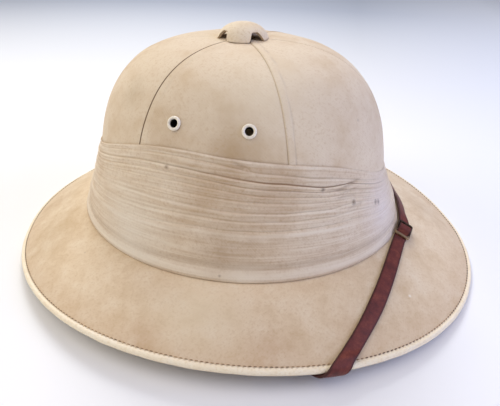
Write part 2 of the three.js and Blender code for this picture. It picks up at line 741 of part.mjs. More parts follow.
addPiece('crown', crown(eyelets.map(eyeletHole)), 'pith');
panelAngles.forEach((angles, i) => {
  addPiece(`crown_panel_${i + 1}`, crownPanel(angles, panelHoles[i].map(eyeletHole)), 'cloth');
});
addPiece('brim', brim(rivetHoles), 'cloth');
addPiece('brim_binding', brimBinding(), 'binding');
addPiece('puggaree', puggaree(), 'band');
addPiece('ventilator_cap', ventilatorCap(), 'cloth');
eyelets.forEach((place, i) => addPiece(`eyelet_${i + 1}`, eyelet(place), 'enamel'));
addPiece('chin_strap', chinStrap(rivetHoles), 'leather');
addPiece('strap_slide', strapSlide(), 'metal');
Object.entries(rivets).forEach(([side, place]) => {
  addPiece(`strap_rivet_${side}`, strapRivet(place), 'metal');
});

export default helmet;
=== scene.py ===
"""Pith helmet: khaki drill over a pith shell, with a pleated band, a bound brim and a leather chin strap.

Metres throughout. +X is the front of the helmet, -Y the wearer's right, +Z up.
"""

import math
from collections import namedtuple

import bmesh
import bpy
import numpy as np
from mathutils import Matrix, Vector


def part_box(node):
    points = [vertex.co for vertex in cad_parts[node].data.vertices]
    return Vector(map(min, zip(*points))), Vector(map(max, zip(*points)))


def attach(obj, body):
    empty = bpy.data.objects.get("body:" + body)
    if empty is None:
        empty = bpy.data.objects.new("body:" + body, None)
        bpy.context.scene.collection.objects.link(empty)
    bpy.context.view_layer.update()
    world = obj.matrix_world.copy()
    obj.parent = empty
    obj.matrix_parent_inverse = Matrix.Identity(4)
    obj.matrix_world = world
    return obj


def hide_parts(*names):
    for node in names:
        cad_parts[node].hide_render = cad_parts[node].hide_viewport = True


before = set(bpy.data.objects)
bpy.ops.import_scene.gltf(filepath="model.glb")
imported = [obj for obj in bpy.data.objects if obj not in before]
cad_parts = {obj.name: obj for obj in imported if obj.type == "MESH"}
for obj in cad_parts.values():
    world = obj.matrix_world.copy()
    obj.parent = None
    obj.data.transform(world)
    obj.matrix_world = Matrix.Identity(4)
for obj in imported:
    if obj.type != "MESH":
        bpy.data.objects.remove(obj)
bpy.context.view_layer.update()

bl_info = {
    "name": "Pith Helmet",
    "version": (1, 0, 0),
    "blender": (4, 5, 0),
    "location": "3D View > Sidebar > Helmet",
    "description": "Builds a cloth-covered pith helmet on its packed frame",
    "category": "Object",
}

MM = 0.001
BODY = "root"
GAP = 0.3 * MM  # clearance between pieces that touch


def linear(hex_colour):
    """Linear RGB of an sRGB hex colour."""
    channels = [int(hex_colour[i : i + 2], 16) / 255 for i in (1, 3, 5)]
    return tuple(c / 12.92 if c <= 0.04045 else ((c + 0.055) / 1.055) ** 2.4 for c in channels)


def size(name, description, default):
    """A length that a user may change, in metres."""
    return bpy.props.FloatProperty(
        name=name, description=description, default=default, unit="LENGTH", precision=5
    )


def turn(name, description, degrees):
    """An angle that a user may change."""
    return bpy.props.FloatProperty(
        name=name, description=description, default=math.radians(degrees), subtype="ANGLE"
    )


def share(name, description, default):
    """A plain number that a user may change."""
    return bpy.props.FloatProperty(name=name, description=description, default=default, precision=4)


def paint(name, description, hex_colour):
    """A colour that a user may change, given in sRGB."""
    return bpy.props.FloatVectorProperty(
        name=name, description=description, default=linear(hex_colour), subtype="COLOR", min=0, max=1
    )


class HelmetShape(bpy.types.PropertyGroup):
    """Driving sizes of the helmet"""

    dome_half_length: size("Dome half length", "Front to back, over the cloth", 102.6 * MM)
    dome_half_width: size("Dome half width", "Side to side, over the cloth", 88.8 * MM)
    dome_height: size("Dome height", "From the dome's foot to its top", 115.6 * MM)
    dome_base: size("Dome base", "Height of the dome's foot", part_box("puggaree")[0].z - GAP)
    rim_half_length: size("Rim half length", "Front to back, inside the binding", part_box("brim")[1].x)
    rim_half_width: size("Rim half width", "Side to side, inside the binding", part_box("brim")[1].y)
    rim_height: size("Rim height", "Top of the rim at the front and back", 3 * MM)
    side_lift: size("Side lift", "Rise of the rim at the sides", 14.5 * MM)
    band_half_length: size("Band half length", "Foot of the pleated band, front to back", 116.5 * MM)
    band_half_width: size("Band half width", "Foot of the pleated band, side to side", 100.6 * MM)
    band_height: size("Band height", "Mean height of the pleated band", 59.1 * MM)
    strap_width: size("Strap width", "Width of the chin strap", 8.6 * MM)
    strap_thickness: size("Strap thickness", "Thickness of the chin strap", 1.6 * MM)
    stitch_pitch: size("Stitch pitch", "From one stitch of the binding to the next", 2.8 * MM)
    stitch_length: size("Stitch length", "Length of thread that shows in one stitch", 1.9 * MM)


class HelmetColours(bpy.types.PropertyGroup):
    """Colours of the helmet's cloth, leather and metal"""

    drill: paint("Drill", "Khaki drill of the dome and cap", "#e7d4b9")
    brim: paint("Brim", "Khaki drill of the brim", "#e5cfb0")
    drill_pale: paint("Pale drill", "Sun-bleached drill", "#efdfc5")
    drill_dark: paint("Soiled drill", "Handled and soiled drill", "#d2b690")
    # The seam colour is also the painted shade along a lap's edge, inside the ventilator cap and on its
    # stem.
    seam: paint("Seam", "Dust in the seams of the drill", "#5f401f")
    band: paint("Band", "Cloth of the pleated band", "#e5d2b8")
    # Pale band is also the painted highlight on the band's fold edges and roll.
    band_pale_and_highlight: paint("Pale band", "Rubbed edges of the band's folds", "#f4e7d2")
    band_dark: paint("Soiled band", "Handled parts of the band", "#c8ab88")
    band_crease: paint("Band creases", "Dust and shade in the band's creases", "#7d6146")
    binding: paint("Binding", "Cotton edging of the rim", "#fff1d6")
    binding_pale: paint("Pale binding", "Cleaner parts of the edging", "#fff8e6")
    binding_dark: paint("Soiled binding", "Handled parts of the edging", "#efd9b4")
    thread: paint("Thread", "Brown sewing thread", "#543a2a")
    thread_worn: paint("Worn thread", "Faded sewing thread", "#b3906c")
    leather: paint("Leather", "Reddish-brown strap leather", "#6d312a")
    leather_worn: paint("Worn leather", "Rubbed strap leather", "#8a4838")
    leather_edge: paint("Leather edge", "Darker dye on the strap's edges", "#3b1a17")
    enamel: paint("Enamel", "Off-white enamel of the eyelets", "#fff6e4")
    slide: paint("Slide", "Dark tarnish of the slide", "#33251e")
    # This colour is also painted on one end bar of the slide as its highlight.
    slide_worn_and_highlight: paint("Worn slide", "Metal that shows where the slide is rubbed", "#b89c7c")
    pith: paint("Pith", "Plain inside of the shell", "#cdb793")


class HelmetStage(bpy.types.PropertyGroup):
    """Camera and light"""

    azimuth: turn("Azimuth", "Camera's turn round the helmet from its right side", 10.26)
    elevation: turn("Elevation", "Camera's height as an angle", 33.02)
    roll: turn("Roll", "Camera's lean", 1.33)
    distance: size("Distance", "Camera to the point it looks at", 350 * MM)
    aim: bpy.props.FloatVectorProperty(
        name="Aim", description="Point that the camera looks at", default=(3.9 * MM, 1.1 * MM, 21.3 * MM),
        subtype="XYZ", unit="LENGTH",
    )
    lens: share("Lens", "Focal length in millimetres on a 36 mm wide frame", 32.1)
    sky: share("Sky", "Strength of the even light from all round", 0.24)


def settings(context):
    """Sizes and colours that the pieces are made from."""
    return context.scene.helmet_shape, context.scene.helmet_colours


# Shapes

DOME_X = -2.8 * MM  # dome axis behind the middle of the brim
DOME_RISE_POWER = 3.04  # superellipse powers of the upright section
DOME_REACH_POWER = 3.21
DOME_TAPER = 0.04
FLARE = 7 * MM  # spread of the dome's foot
FLARE_HEIGHT = 30 * MM
CLOTH = 1.2 * MM
FOOT_ROW = 9  # degrees along the superellipse, above the dome's foot and at the ventilator's hole
VENT_ROW = 89

BRIM_INSIDE = -0.29  # inner edge, as a share of the brim's width inside the band's foot
BRIM_INSIDE_RISE = 2 * MM
BRIM_BULGE = 2 * MM
BRIM_INNER_THICKNESS = 3.6 * MM
BRIM_RIM_THICKNESS = 2.4 * MM
REST_FLAT = 1.3 * MM  # lowest part of the rim's rise, pressed flat by the helmet's weight


def grid(*parts):
    """Points, or other short rows of values, from parts that spread over one grid."""
    return np.stack(np.broadcast_arrays(*parts), -1)


def between(first, last, part):
    """What lies a share of the way from one value to another."""
    return first + (last - first) * part


def ramp(value, low, high):
    """Straight rise from 0 at low to 1 at high."""
    return np.clip((value - low) / (high - low), 0, 1)


def smoothstep(value, low, high):
    """Soft rise from 0 at low to 1 at high."""
    part = ramp(value, low, high)
    return part * part * (3 - 2 * part)


def bell(value, middle, width):
    """Soft bump that is 1 in its middle."""
    return np.exp(-(((value - middle) / width) ** 2))


def around(columns, repeated=0):
    """Angles of evenly spread columns round the helmet. The first may be repeated at the end."""
    return np.linspace(0, 2 * math.pi, columns + 1)[: columns + repeated]


def half_turn(angle):
    """Angles as turns from the front, up to half a turn each way."""
    return (angle + math.pi) % (2 * math.pi) - math.pi


def unit(vectors):
    """Vectors at length 1."""
    return vectors / np.linalg.norm(vectors, axis=-1, keepdims=True)


def ripple(angle, height, waves):
    """Gentle unevenness, as a sum of waves that close round the helmet. A wave is (turns, climb, phase)."""
    return sum(np.sin(turns * angle + climb * height + phase) for turns, climb, phase in waves) / len(waves)


def dome_point(shape, angle, level, inset=0.0):
    """Points on the dome, from level 0 at its foot to 1 at its top, an inset below its cloth."""
    reach = (1 - level**DOME_RISE_POWER) ** (1 / DOME_REACH_POWER) * (1 - DOME_TAPER * level)
    flare = FLARE * np.clip(1 - level * shape.dome_height / FLARE_HEIGHT, 0, None) ** 2
    x = DOME_X + ((shape.dome_half_length - inset) * reach + flare) * np.cos(angle)
    y = ((shape.dome_half_width - inset) * reach + flare) * np.sin(angle)
    return grid(x, y, shape.dome_base + (shape.dome_height - inset) * level)


def dome_outward(shape, angle, level):
    """Directions straight out of the dome."""
    step = 1e-4
    upwards = dome_point(shape, angle, level + step) - dome_point(shape, angle, level - step)
    onwards = dome_point(shape, angle + step, level) - dome_point(shape, angle - step, level)
    return unit(np.cross(onwards, upwards))


def dome_levels(first, last, rows):
    """Levels of rows spread evenly along the dome's curve, between two angles of its superellipse."""
    return np.sin(np.radians(np.linspace(first, last, rows))) ** (2 / DOME_RISE_POWER)


def rim_top(shape, angle):
    """Height of the rim, which dips to the table at the front and back."""
    return shape.rim_height + np.maximum(0, shape.side_lift * np.sin(angle) ** 2 - REST_FLAT)


def brim_top(shape, angle, part):
    """Points on top of the brim, from 0 at the band's foot to 1 at the rim."""
    foot_x = DOME_X + shape.band_half_length * np.cos(angle)
    foot_y = shape.band_half_width * np.sin(angle)
    x = between(foot_x, shape.rim_half_length * np.cos(angle), part)
    y = between(foot_y, shape.rim_half_width * np.sin(angle), part)
    slope = between(shape.dome_base, rim_top(shape, angle), part) + 4 * BRIM_BULGE * part * (1 - part)
    inside = shape.dome_base + BRIM_INSIDE_RISE * part / BRIM_INSIDE
    return grid(x, y, np.where(np.asarray(part) > 0, slope, inside))


def brim_frame(shape, angle, part):
    """Directions out along the brim and up through it."""
    step = 1e-3
    along = unit(brim_top(shape, angle, part) - brim_top(shape, angle, part - step))
    onwards = unit(brim_top(shape, angle + step, part) - brim_top(shape, angle - step, part))
    return along, unit(np.cross(along, onwards))


def brim_bottom(shape, angle, part):
    """Points on the brim's underside."""
    thickness = between(BRIM_INNER_THICKNESS, BRIM_RIM_THICKNESS, np.clip(part, 0, 1))
    up = brim_frame(shape, angle, part)[1]
    return brim_top(shape, angle, part) - up * np.asarray(thickness)[..., None]


def brim_width(shape, angle):
    """Width of the open brim."""
    return np.linalg.norm(brim_top(shape, angle, 1.0) - brim_top(shape, angle, 0.0), axis=-1)


def rim_place(shape, angle, out, up):
    """Points about the middle of the rim's thickness, out along the brim and up through it."""
    along, normal = brim_frame(shape, angle, 1.0)
    middle = brim_top(shape, angle, 1.0) - normal * BRIM_RIM_THICKNESS / 2 + along * GAP
    return middle + along * np.asarray(out)[..., None] + normal * np.asarray(up)[..., None]


# Meshes

MERGE = 1e-6  # distance under which two points are one


def sweep_mesh(name, sections, closed=True, uv=None, **attributes):
    """A closed mesh through loops of points, given as columns by rows. The two ends of an open sweep are
    closed by strips between the halves of their loops. Attributes hold one number for each point."""
    sections = np.asarray(sections, float)
    columns, rows = sections.shape[:2]
    spans = columns if closed else columns - 1
    column, row = np.meshgrid(np.arange(spans), np.arange(rows), indexing="ij")
    offsets = ((0, 0), (1, 0), (1, 1), (0, 1))
    corners = [((column + c) % columns) * rows + (row + r) % rows for c, r in offsets]
    quads = np.stack(corners, -1).reshape(-1, 4)
    places = np.zeros((len(quads), 4, 2))
    if uv is not None:
        places = np.stack([uv[column + c, row + r] for c, r in offsets], 2).reshape(-1, 4, 2)
    if not closed:
        near = np.arange(rows // 2 - 1)
        first = np.stack([near, near + 1, rows - 2 - near, rows - 1 - near], -1)
        caps = np.concatenate([first[:, ::-1], first + (columns - 1) * rows])
        quads = np.concatenate([quads, caps])
        places = np.concatenate([places, np.zeros((len(caps), 4, 2))])
    mesh = bpy.data.meshes.new(name)
    mesh.from_pydata(sections.reshape(-1, 3).tolist(), [], quads.tolist())
    mesh.uv_layers.new(name="cloth").data.foreach_set("uv", places.reshape(-1).astype(np.float32))
    for label, values in attributes.items():
        values = np.broadcast_to(values, (columns, rows)).astype(np.float32)
        mesh.attributes.new(label, "FLOAT", "POINT").data.foreach_set("value", values.reshape(-1))
    return mesh


def shade(mesh, sharp=40):
    """Shades a mesh smooth, but for edges sharper than an angle in degrees."""
    mesh.shade_smooth()
    mesh.set_sharp_from_angle(angle=math.radians(sharp))
    return mesh


def tidy_mesh(mesh, sharp=40):
    """Merges doubled points, turns the faces outwards and shades them."""
    work = bmesh.new()
    work.from_mesh(mesh)
    bmesh.ops.remove_doubles(work, verts=work.verts, dist=MERGE)
    bmesh.ops.recalc_face_normals(work, faces=work.faces)
    work.to_mesh(mesh)
    work.free()
    return shade(mesh, sharp)


def lathe_mesh(name, outline, sides, **attributes):
    """A turned mesh about Z from [radius, height] pairs. Attributes hold one number for each pair."""
    radius, height = np.asarray(outline, float).T
    angles = around(sides)[:, None]
    points = grid(radius * np.cos(angles), radius * np.sin(angles), height)
    return tidy_mesh(sweep_mesh(name, points, **attributes))


def stand(mesh, point, direction):
    """Stands a mesh made along Z at a point, along a direction."""
    rotation = Vector(direction).to_track_quat("Z", "Y").to_matrix().to_4x4()
    mesh.transform(Matrix.Translation(Vector(point)) @ rotation)
    return mesh


def join_meshes(name, meshes):
    """One mesh of several."""
    work = bmesh.new()
    for mesh in meshes:
        work.from_mesh(mesh)
    joined = bpy.data.meshes.new(name)
    work.to_mesh(joined)
    work.free()
    return shade(joined)


def evaluated_mesh(name, data, add_modifier=None):
    """The plain mesh of a curve, or of a mesh with the modifier that a function adds to its object."""
    carrier = bpy.data.objects.new(name, data)
    bpy.context.scene.collection.objects.link(carrier)
    if add_modifier:
        add_modifier(carrier)
    result = bpy.data.meshes.new_from_object(carrier.evaluated_get(bpy.context.evaluated_depsgraph_get()))
    bpy.data.objects.remove(carrier)
    return result


def add_piece(name, mesh, material, slot, *nodes):
    """A finished piece on the helmet's body, in the place of CAD nodes."""
    mesh.materials.clear()
    mesh.materials.append(material)
    piece = bpy.data.objects.new(name, mesh)
    bpy.context.scene.collection.objects.link(piece)
    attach(piece, BODY)
    if nodes:
        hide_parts(*nodes)
    return piece


# Materials

Layer = namedtuple("Layer", "value low high least most colour")
Tint = namedtuple("Tint", "degrees level radius strength colour")
Mark = namedtuple("Mark", "place radius strength colour")
Cloth = namedtuple("Cloth", "base pale dark crease mottle patches thread streaks")
SPOT_RADIUS = 5 * MM  # below which a mark is a spot with a grainy edge, and not a wider patch with a broad edge
SPECK = 1.5 * MM
STREAK_LENGTH = 45 * MM
STREAK_WIDTH = 1.1 * MM
STREAK_RELIEF = 6  # height of the streaks against the weave's
WAVE_SCALE = math.pi / 10  # at which a wave texture repeats once a metre


def add_node(tree, kind, inputs=None, **choices):
    """Adds a node with its settings. Inputs are sockets to link or plain values, by name or number."""
    node = tree.nodes.new(kind)
    for name, value in choices.items():
        setattr(node, name, value)
    for key, source in (inputs or {}).items():
        if isinstance(source, bpy.types.NodeSocket):
            tree.links.new(source, node.inputs[key])
        else:
            node.inputs[key].default_value = source
    return node


def new_material(name, finish=None):
    """A material with its shader, a finish that is the same all over, and coordinates for its patterns."""
    material = bpy.data.materials.new(name)
    material.use_nodes = True
    tree = material.node_tree
    tree.nodes.clear()
    shader = add_node(tree, "ShaderNodeBsdfPrincipled", finish)
    add_node(tree, "ShaderNodeOutputMaterial", {"Surface": shader.outputs[0]})
    place = add_node(tree, "ShaderNodeTexCoord")
    return material, tree, shader, place


def opaque(colour):
    """A colour with full alpha."""
    return (*colour, 1.0)


def lay_colours(tree, shader, base, layers):
    """Lays colours over a base colour. From low to high of its value, a layer's share goes from least
    to most."""
    colour = opaque(base)
    for layer in layers:
        limits = {0: layer.value, 1: layer.low, 2: layer.high, 3: layer.least, 4: layer.most}
        amount = add_node(tree, "ShaderNodeMapRange", limits)
        inputs = {0: amount.outputs[0], 6: colour, 7: opaque(layer.colour)}
        colour = add_node(tree, "ShaderNodeMix", inputs, data_type="RGBA").outputs[2]
    tree.links.new(colour, shader.inputs["Base Color"])


def marks_on(surface, tints):
    """Marks of a cloth from its tints, which are stains and, on the band, painted light. The surface gives a
    point for an angle and a level.
    """
    return [
        Mark(tuple(surface(math.radians(tint.degrees), tint.level)), *tint[2:])
        for tint in tints
    ]


def cloth_material(name, cloth, bump=0.2, marks=()):
    """Woven cotton, handled and aged: dull, softly mottled, with a fine diagonal rib that is drawn at
    about twice its real spacing so that it shows. Streaks run along a pleated cloth. A crest attribute lays
    on the pale colour as painted highlight, and a crease attribute lays on the crease colour: dust in the
    dome's seams, darkening towards the brim's rim, and painted shade in the band's folds and hollows, along
    a lap's edge, on the edging and in the ventilator cap."""
    finish = {"Roughness": 0.92, "Specular IOR Level": 0.2, "Sheen Weight": 0.08, "Sheen Roughness": 0.6}
    material, tree, shader, place = new_material(name, finish)
    solid, flat = place.outputs["Object"], place.outputs["UV"]
    patches = {"Vector": solid, "Scale": 1 / cloth.mottle, "Detail": 6.0, "Roughness": 0.68}
    broad = add_node(tree, "ShaderNodeTexNoise", patches).outputs[0]
    specks = {"Vector": solid, "Scale": 1 / SPECK, "Detail": 3.0}
    fine = add_node(tree, "ShaderNodeTexNoise", specks).outputs[0]
    ribs = {"Vector": flat, "Scale": WAVE_SCALE / cloth.thread, "Distortion": 1.2, "Detail": 1.0}
    rib = add_node(tree, "ShaderNodeTexWave", ribs, bands_direction="DIAGONAL").outputs[0]
    stretch = {"Vector": flat, "Scale": (1 / STREAK_LENGTH, 1 / STREAK_WIDTH, 1)}
    stretched = add_node(tree, "ShaderNodeMapping", stretch).outputs[0]
    streaks = {"Vector": stretched, "Scale": 1.0, "Detail": 3.0}
    streak = add_node(tree, "ShaderNodeTexNoise", streaks).outputs[0]
    crease = add_node(tree, "ShaderNodeAttribute", attribute_name="crease").outputs["Fac"]
    crest = add_node(tree, "ShaderNodeAttribute", attribute_name="crest").outputs["Fac"]
    layers = [
        Layer(broad, 0.5, 0.72, 0, cloth.patches, cloth.pale),
        Layer(broad, 0.5, 0.26, 0, cloth.patches, cloth.dark),
        Layer(fine, 0.5, 0.72, 0, 0.5, cloth.dark),
        Layer(rib, 0, 1, 0, 0.08, cloth.dark),
        Layer(streak, 0.5, 0.75, 0, cloth.streaks, cloth.dark),
        Layer(streak, 0.5, 0.3, 0, cloth.streaks, cloth.pale),
        Layer(crest, 0, 1, 0, 1, cloth.pale),
        Layer(crease, 0, 1, 0, 1, cloth.crease),
    ]
    for mark in marks:
        away = {0: solid, 1: mark.place}
        distance = add_node(tree, "ShaderNodeVectorMath", away, operation="DISTANCE").outputs["Value"]
        edge = fine if mark.radius < SPOT_RADIUS else broad
        uneven = {0: edge, 1: mark.radius, 2: distance}
        ragged = add_node(tree, "ShaderNodeMath", uneven, operation="MULTIPLY_ADD").outputs[0]
        near, far = 0.5 * mark.radius, 1.5 * mark.radius
        layers.append(Layer(ragged, near, far, mark.strength, 0, linear(mark.colour)))
    lay_colours(tree, shader, cloth.base, layers)
    woven = add_node(tree, "ShaderNodeMath", {0: fine, 1: rib}, operation="ADD").outputs[0]
    pleated = {0: streak, 1: STREAK_RELIEF * cloth.streaks, 2: woven}
    height = add_node(tree, "ShaderNodeMath", pleated, operation="MULTIPLY_ADD").outputs[0]
    relief = {"Height": height, "Strength": bump, "Distance": 0.15 * MM}
    tree.links.new(add_node(tree, "ShaderNodeBump", relief).outputs[0], shader.inputs["Normal"])
    return material


def leather_material(colours):
    """Bridle leather, dyed and waxed: a soft shine over a fine pebbled grain, and darker burnished edges."""
    material, tree, shader, place = new_material("bridle_leather", {"Specular IOR Level": 0.35})
    solid = place.outputs["Object"]
    edge = add_node(tree, "ShaderNodeAttribute", attribute_name="edge").outputs["Fac"]
    clouds = {"Vector": solid, "Scale": 1 / (6 * MM), "Detail": 8.0, "Roughness": 0.72}
    cloud = add_node(tree, "ShaderNodeTexNoise", clouds).outputs[0]
    pebbles = {"Vector": solid, "Scale": 1 / (0.8 * MM)}
    grain = add_node(tree, "ShaderNodeTexVoronoi", pebbles, feature="SMOOTH_F1").outputs[0]
    layers = (
        Layer(cloud, 0.5, 0.68, 0, 0.9, colours.leather_worn),
        Layer(cloud, 0.48, 0.3, 0, 0.8, colours.leather_edge),
        Layer(grain, 0.0, 0.6, 0.3, 0, colours.leather_edge),
        Layer(edge, 0.7, 0.95, 0, 0.9, colours.leather_edge),
    )
    lay_colours(tree, shader, colours.leather, layers)
    relief = {"Height": grain, "Strength": 0.25, "Distance": 0.12 * MM}
    tree.links.new(add_node(tree, "ShaderNodeBump", relief).outputs[0], shader.inputs["Normal"])
    polish = add_node(tree, "ShaderNodeMapRange", {0: cloud, 1: 0.3, 2: 0.7, 3: 0.45, 4: 0.62})
    tree.links.new(polish.outputs[0], shader.inputs["Roughness"])
    return material


def enamel_material(colours):
    """Stove enamel on pressed metal: smooth, off-white, a little yellowed and scuffed, with painted shade
    that makes the bore near black.
    """
    material, tree, shader, place = new_material("stove_enamel")
    scuffs = {"Vector": place.outputs["Object"], "Scale": 1 / (1.5 * MM), "Detail": 4.0}
    scuff = add_node(tree, "ShaderNodeTexNoise", scuffs).outputs[0]
    inside = add_node(tree, "ShaderNodeAttribute", attribute_name="inside").outputs["Fac"]
    layers = (
        Layer(scuff, 0.45, 0.75, 0, 0.5, linear("#c9b994")),
        # painted shade, near black, in the bore and round the lip's edges
        Layer(inside, 0, 1, 0, 1, linear("#080605")),
    )
    lay_colours(tree, shader, colours.enamel, layers)
    gloss = add_node(tree, "ShaderNodeMapRange", {0: inside, 1: 0.2, 2: 0.8, 3: 0.28, 4: 0.95})
    tree.links.new(gloss.outputs[0], shader.inputs["Roughness"])
    return material


def metal_material(name, dark, bright, wear):
    """Tarnished brass, stamped from sheet: dull dark patches over metal that shines where it is rubbed, and
    an attribute that lays on the bright colour as wear and painted highlight.
    """
    material, tree, shader, place = new_material(name, {"Metallic": 0.85})
    patches = {"Vector": place.outputs["Object"], "Scale": 1 / (2.5 * MM), "Detail": 5.0}
    patch = add_node(tree, "ShaderNodeTexNoise", patches).outputs[0]
    # the rubbed attribute lays on the bright colour as wear and as painted highlight
    rubbed = add_node(tree, "ShaderNodeAttribute", attribute_name="rubbed").outputs["Fac"]
    layers = (
        Layer(patch, 0.35, 0.7, 0, wear, bright),
        Layer(rubbed, 0, 1, 0, 0.85, bright),
    )
    lay_colours(tree, shader, dark, layers)
    dull = add_node(tree, "ShaderNodeMapRange", {0: patch, 1: 0.3, 2: 0.7, 3: 0.35, 4: 0.6})
    tree.links.new(dull.outputs[0], shader.inputs["Roughness"])
    return material


def thread_material(colours):
    """Waxed cotton thread, twisted: uneven in colour along its length, and dull."""
    material, tree, shader, place = new_material("waxed_thread", {"Roughness": 0.8})
    fades = {"Vector": place.outputs["Object"], "Scale": 1 / (22 * MM), "Detail": 6.0, "Roughness": 0.75}
    fade = add_node(tree, "ShaderNodeTexNoise", fades).outputs[0]
    lay_colours(tree, shader, colours.thread, [Layer(fade, 0.42, 0.62, 0, 1, colours.thread_worn)])
    return material


def drill_cloth(colours):
    """Khaki drill of the dome, the brim and the cap."""
    return Cloth(
        colours.drill, colours.drill_pale, colours.drill_dark, colours.seam,
        mottle=24 * MM, patches=0.78, thread=0.9 * MM, streaks=0,
    )


# Eyelets

EYELETS = {"eyelet_1": -105.7, "eyelet_2": -77.4, "eyelet_3": 105.7, "eyelet_4": 77.4}  # degrees
EYELET_LEVEL = 0.729
EYELET_BORE = 2.3 * MM
EYELET_TUBE = 2.75 * MM
EYELET_RADIUS = 4.1 * MM
EYELET_DEPTH = 8.2 * MM
EYELET_SIDES = 56
EYELET_LIP = (  # radius and height of the rolled lip in millimetres, from its bore to its outer edge
    (2.3, 0.3), (2.34, 0.7), (2.5, 1.1), (2.75, 1.38), (3.1, 1.5),
    (3.5, 1.42), (3.82, 1.15), (4.02, 0.8), (4.1, 0.4),
)
HOLE_RADIUS = EYELET_TUBE + 0.2 * MM
DRILL_SIDES = 32


def eyelet_seat(shape, degrees):
    """Place of an eyelet on the dome, and the direction straight out of it."""
    angle = math.radians(degrees)
    return dome_point(shape, angle, EYELET_LEVEL), dome_outward(shape, angle, EYELET_LEVEL)


def bore(mesh, shape, places, depth):
    """Cuts the eyelets' round holes straight through a mesh of the dome, at places in degrees."""
    outline = [[0, -depth], [HOLE_RADIUS, -depth], [HOLE_RADIUS, depth], [0, depth]]
    drills = [
        stand(lathe_mesh("drill", outline, DRILL_SIDES), *eyelet_seat(shape, degrees)) for degrees in places
    ]
    cutter = bpy.data.objects.new("cutter", join_meshes("cutter", drills))
    bpy.context.scene.collection.objects.link(cutter)

    def subtract(carrier):
        """Takes the drills away from the mesh."""
        modifier = carrier.modifiers.new("holes", "BOOLEAN")
        modifier.object = cutter
        modifier.solver = "EXACT"

    result = evaluated_mesh("bored", mesh, subtract)
    bpy.data.objects.remove(cutter)
    return result


def eyelet_mesh():
    """A pressed eyelet: a rolled lip on a short tube, with how much painted shade each ring has, from lip to
    bore.
    """
    lip = [[radius * MM, height * MM] for radius, height in EYELET_LIP]
    tube = [[EYELET_RADIUS - 0.1 * MM, GAP], [EYELET_TUBE, GAP], [EYELET_TUBE, -EYELET_DEPTH]]
    wall = [[EYELET_BORE, height] for height in np.linspace(-EYELET_DEPTH, 0.1 * MM, 9)]
    inside = [0.9, 0.25] + [0.0] * (len(lip) - 2) + [0.3, 0.8, 0.9] + [1.0] * len(wall)
    return lathe_mesh("eyelet", lip + tube + wall, EYELET_SIDES, inside=inside)


class PITH_OT_eyelets(bpy.types.Operator):
    """Makes the four ventilation eyelets"""

    bl_idname = "pith_helmet.eyelets"
    bl_label = "Eyelets"

    def execute(self, context):
        shape, colours = settings(context)
        material = enamel_material(colours)
        for node, degrees in EYELETS.items():
            mesh = stand(eyelet_mesh(), *eyelet_seat(shape, degrees))
            add_piece(f"{node}_piece", mesh, material, "eyelet_metal", node)
        return {"FINISHED"}


# Shell and panels

PITH_WALL = 5.2 * MM
SHELL_COLUMNS = 192
SHELL_FOOT = 1.6 * MM  # height of its lower edge outside, above the dome's foot
SHELL_INNER_FOOT = np.array([2.4, 5, 9, 12, 15, 18]) * MM  # heights of its lowest rows inside
SHELL_FOOT_ROW = 8  # degrees along the superellipse, of its next row outside
SHELL_HOLE = 12 * MM  # half lengths of the drills that cut the shell and the panels
PANEL_HOLE = 5 * MM

Seam = namedtuple("Seam", "degrees gap roll dark lap")
SEAMS = (  # open line, radius of the turned edges, darkness, height of the lap; the last repeats the first
    Seam(-119.3, 0.2 * MM, 0.4 * MM, 0.85, 0.08 * MM),
    Seam(-64.2, 0.03 * MM, 0.75 * MM, 0.16, 0.28 * MM),
    Seam(0, 0.05 * MM, 0.2 * MM, 0.1, 0.1 * MM),
    Seam(64.2, 0.15 * MM, 0.4 * MM, 0.4, 0.2 * MM),
    Seam(119.3, 0.3 * MM, 0.45 * MM, 0.7, 0.1 * MM),
    Seam(180, 0.2 * MM, 0.4 * MM, 0.55, 0.2 * MM),
    Seam(240.7, 0.2 * MM, 0.4 * MM, 0.85, 0.08 * MM),
)
SEAM_DEPTH = 0.5  # depth of a turned edge, as a share of its radius
DUST_EDGE = 0.1 * MM  # from the seam, where its dust starts to fade
DUST_REACH = 1.5  # where it ends, in radii of the turned edge
LAP_WIDTH = 4.2 * MM  # seam allowance that shows through the cloth, on the seam's forward side
LAP_SLOPE = 0.8  # share of that width at which it starts to drop
LAP_LINE = 0.6 * MM  # half width of the line of painted shade along its edge
LAP_SHADE = 0.7  # strength of that line for each millimetre of the lap's height
PANEL_FOOT = 18 * MM
PANEL_HALF = 45 * MM  # half width at which the edge columns are spaced
EDGE_COLUMNS = np.array([0, 0.08, 0.18, 0.3, 0.45, 0.7, 1, 1.6, 2.6, 3.4, 3.8, 4.2, 4.8, 6, 8]) * MM
PANEL_RIPPLE = 0.15 * MM
PANEL_CLIMB = 9
PANEL_WAVES = ((5, 1.3, 0.4), (9, -2.1, 2.0), (13, 3.2, 4.1))
SLOPING_LEVELS = (0.001, 0.9995)  # between which the dome has a direction out
DOME_TINTS = (
    Tint(-133.8, 0.80, 13 * MM, 0.2, "#a08a66"),
    # darker and browner just above the band, below the eyelets
    Tint(-82.4, 0.65, 26 * MM, 0.55, "#a0773f"),
    Tint(-106, 0.66, 20 * MM, 0.18, "#a5825e"),
    Tint(-68, 0.87, 44 * MM, 0.45, "#f9ebcf"),
    Tint(-29.1, 0.709, 1.2 * MM, 0.35, "#8b7560"),
    Tint(42, 0.62, 18 * MM, 0.22, "#a98a66"),
    Tint(150, 0.72, 22 * MM, 0.2, "#a98a66"),
)


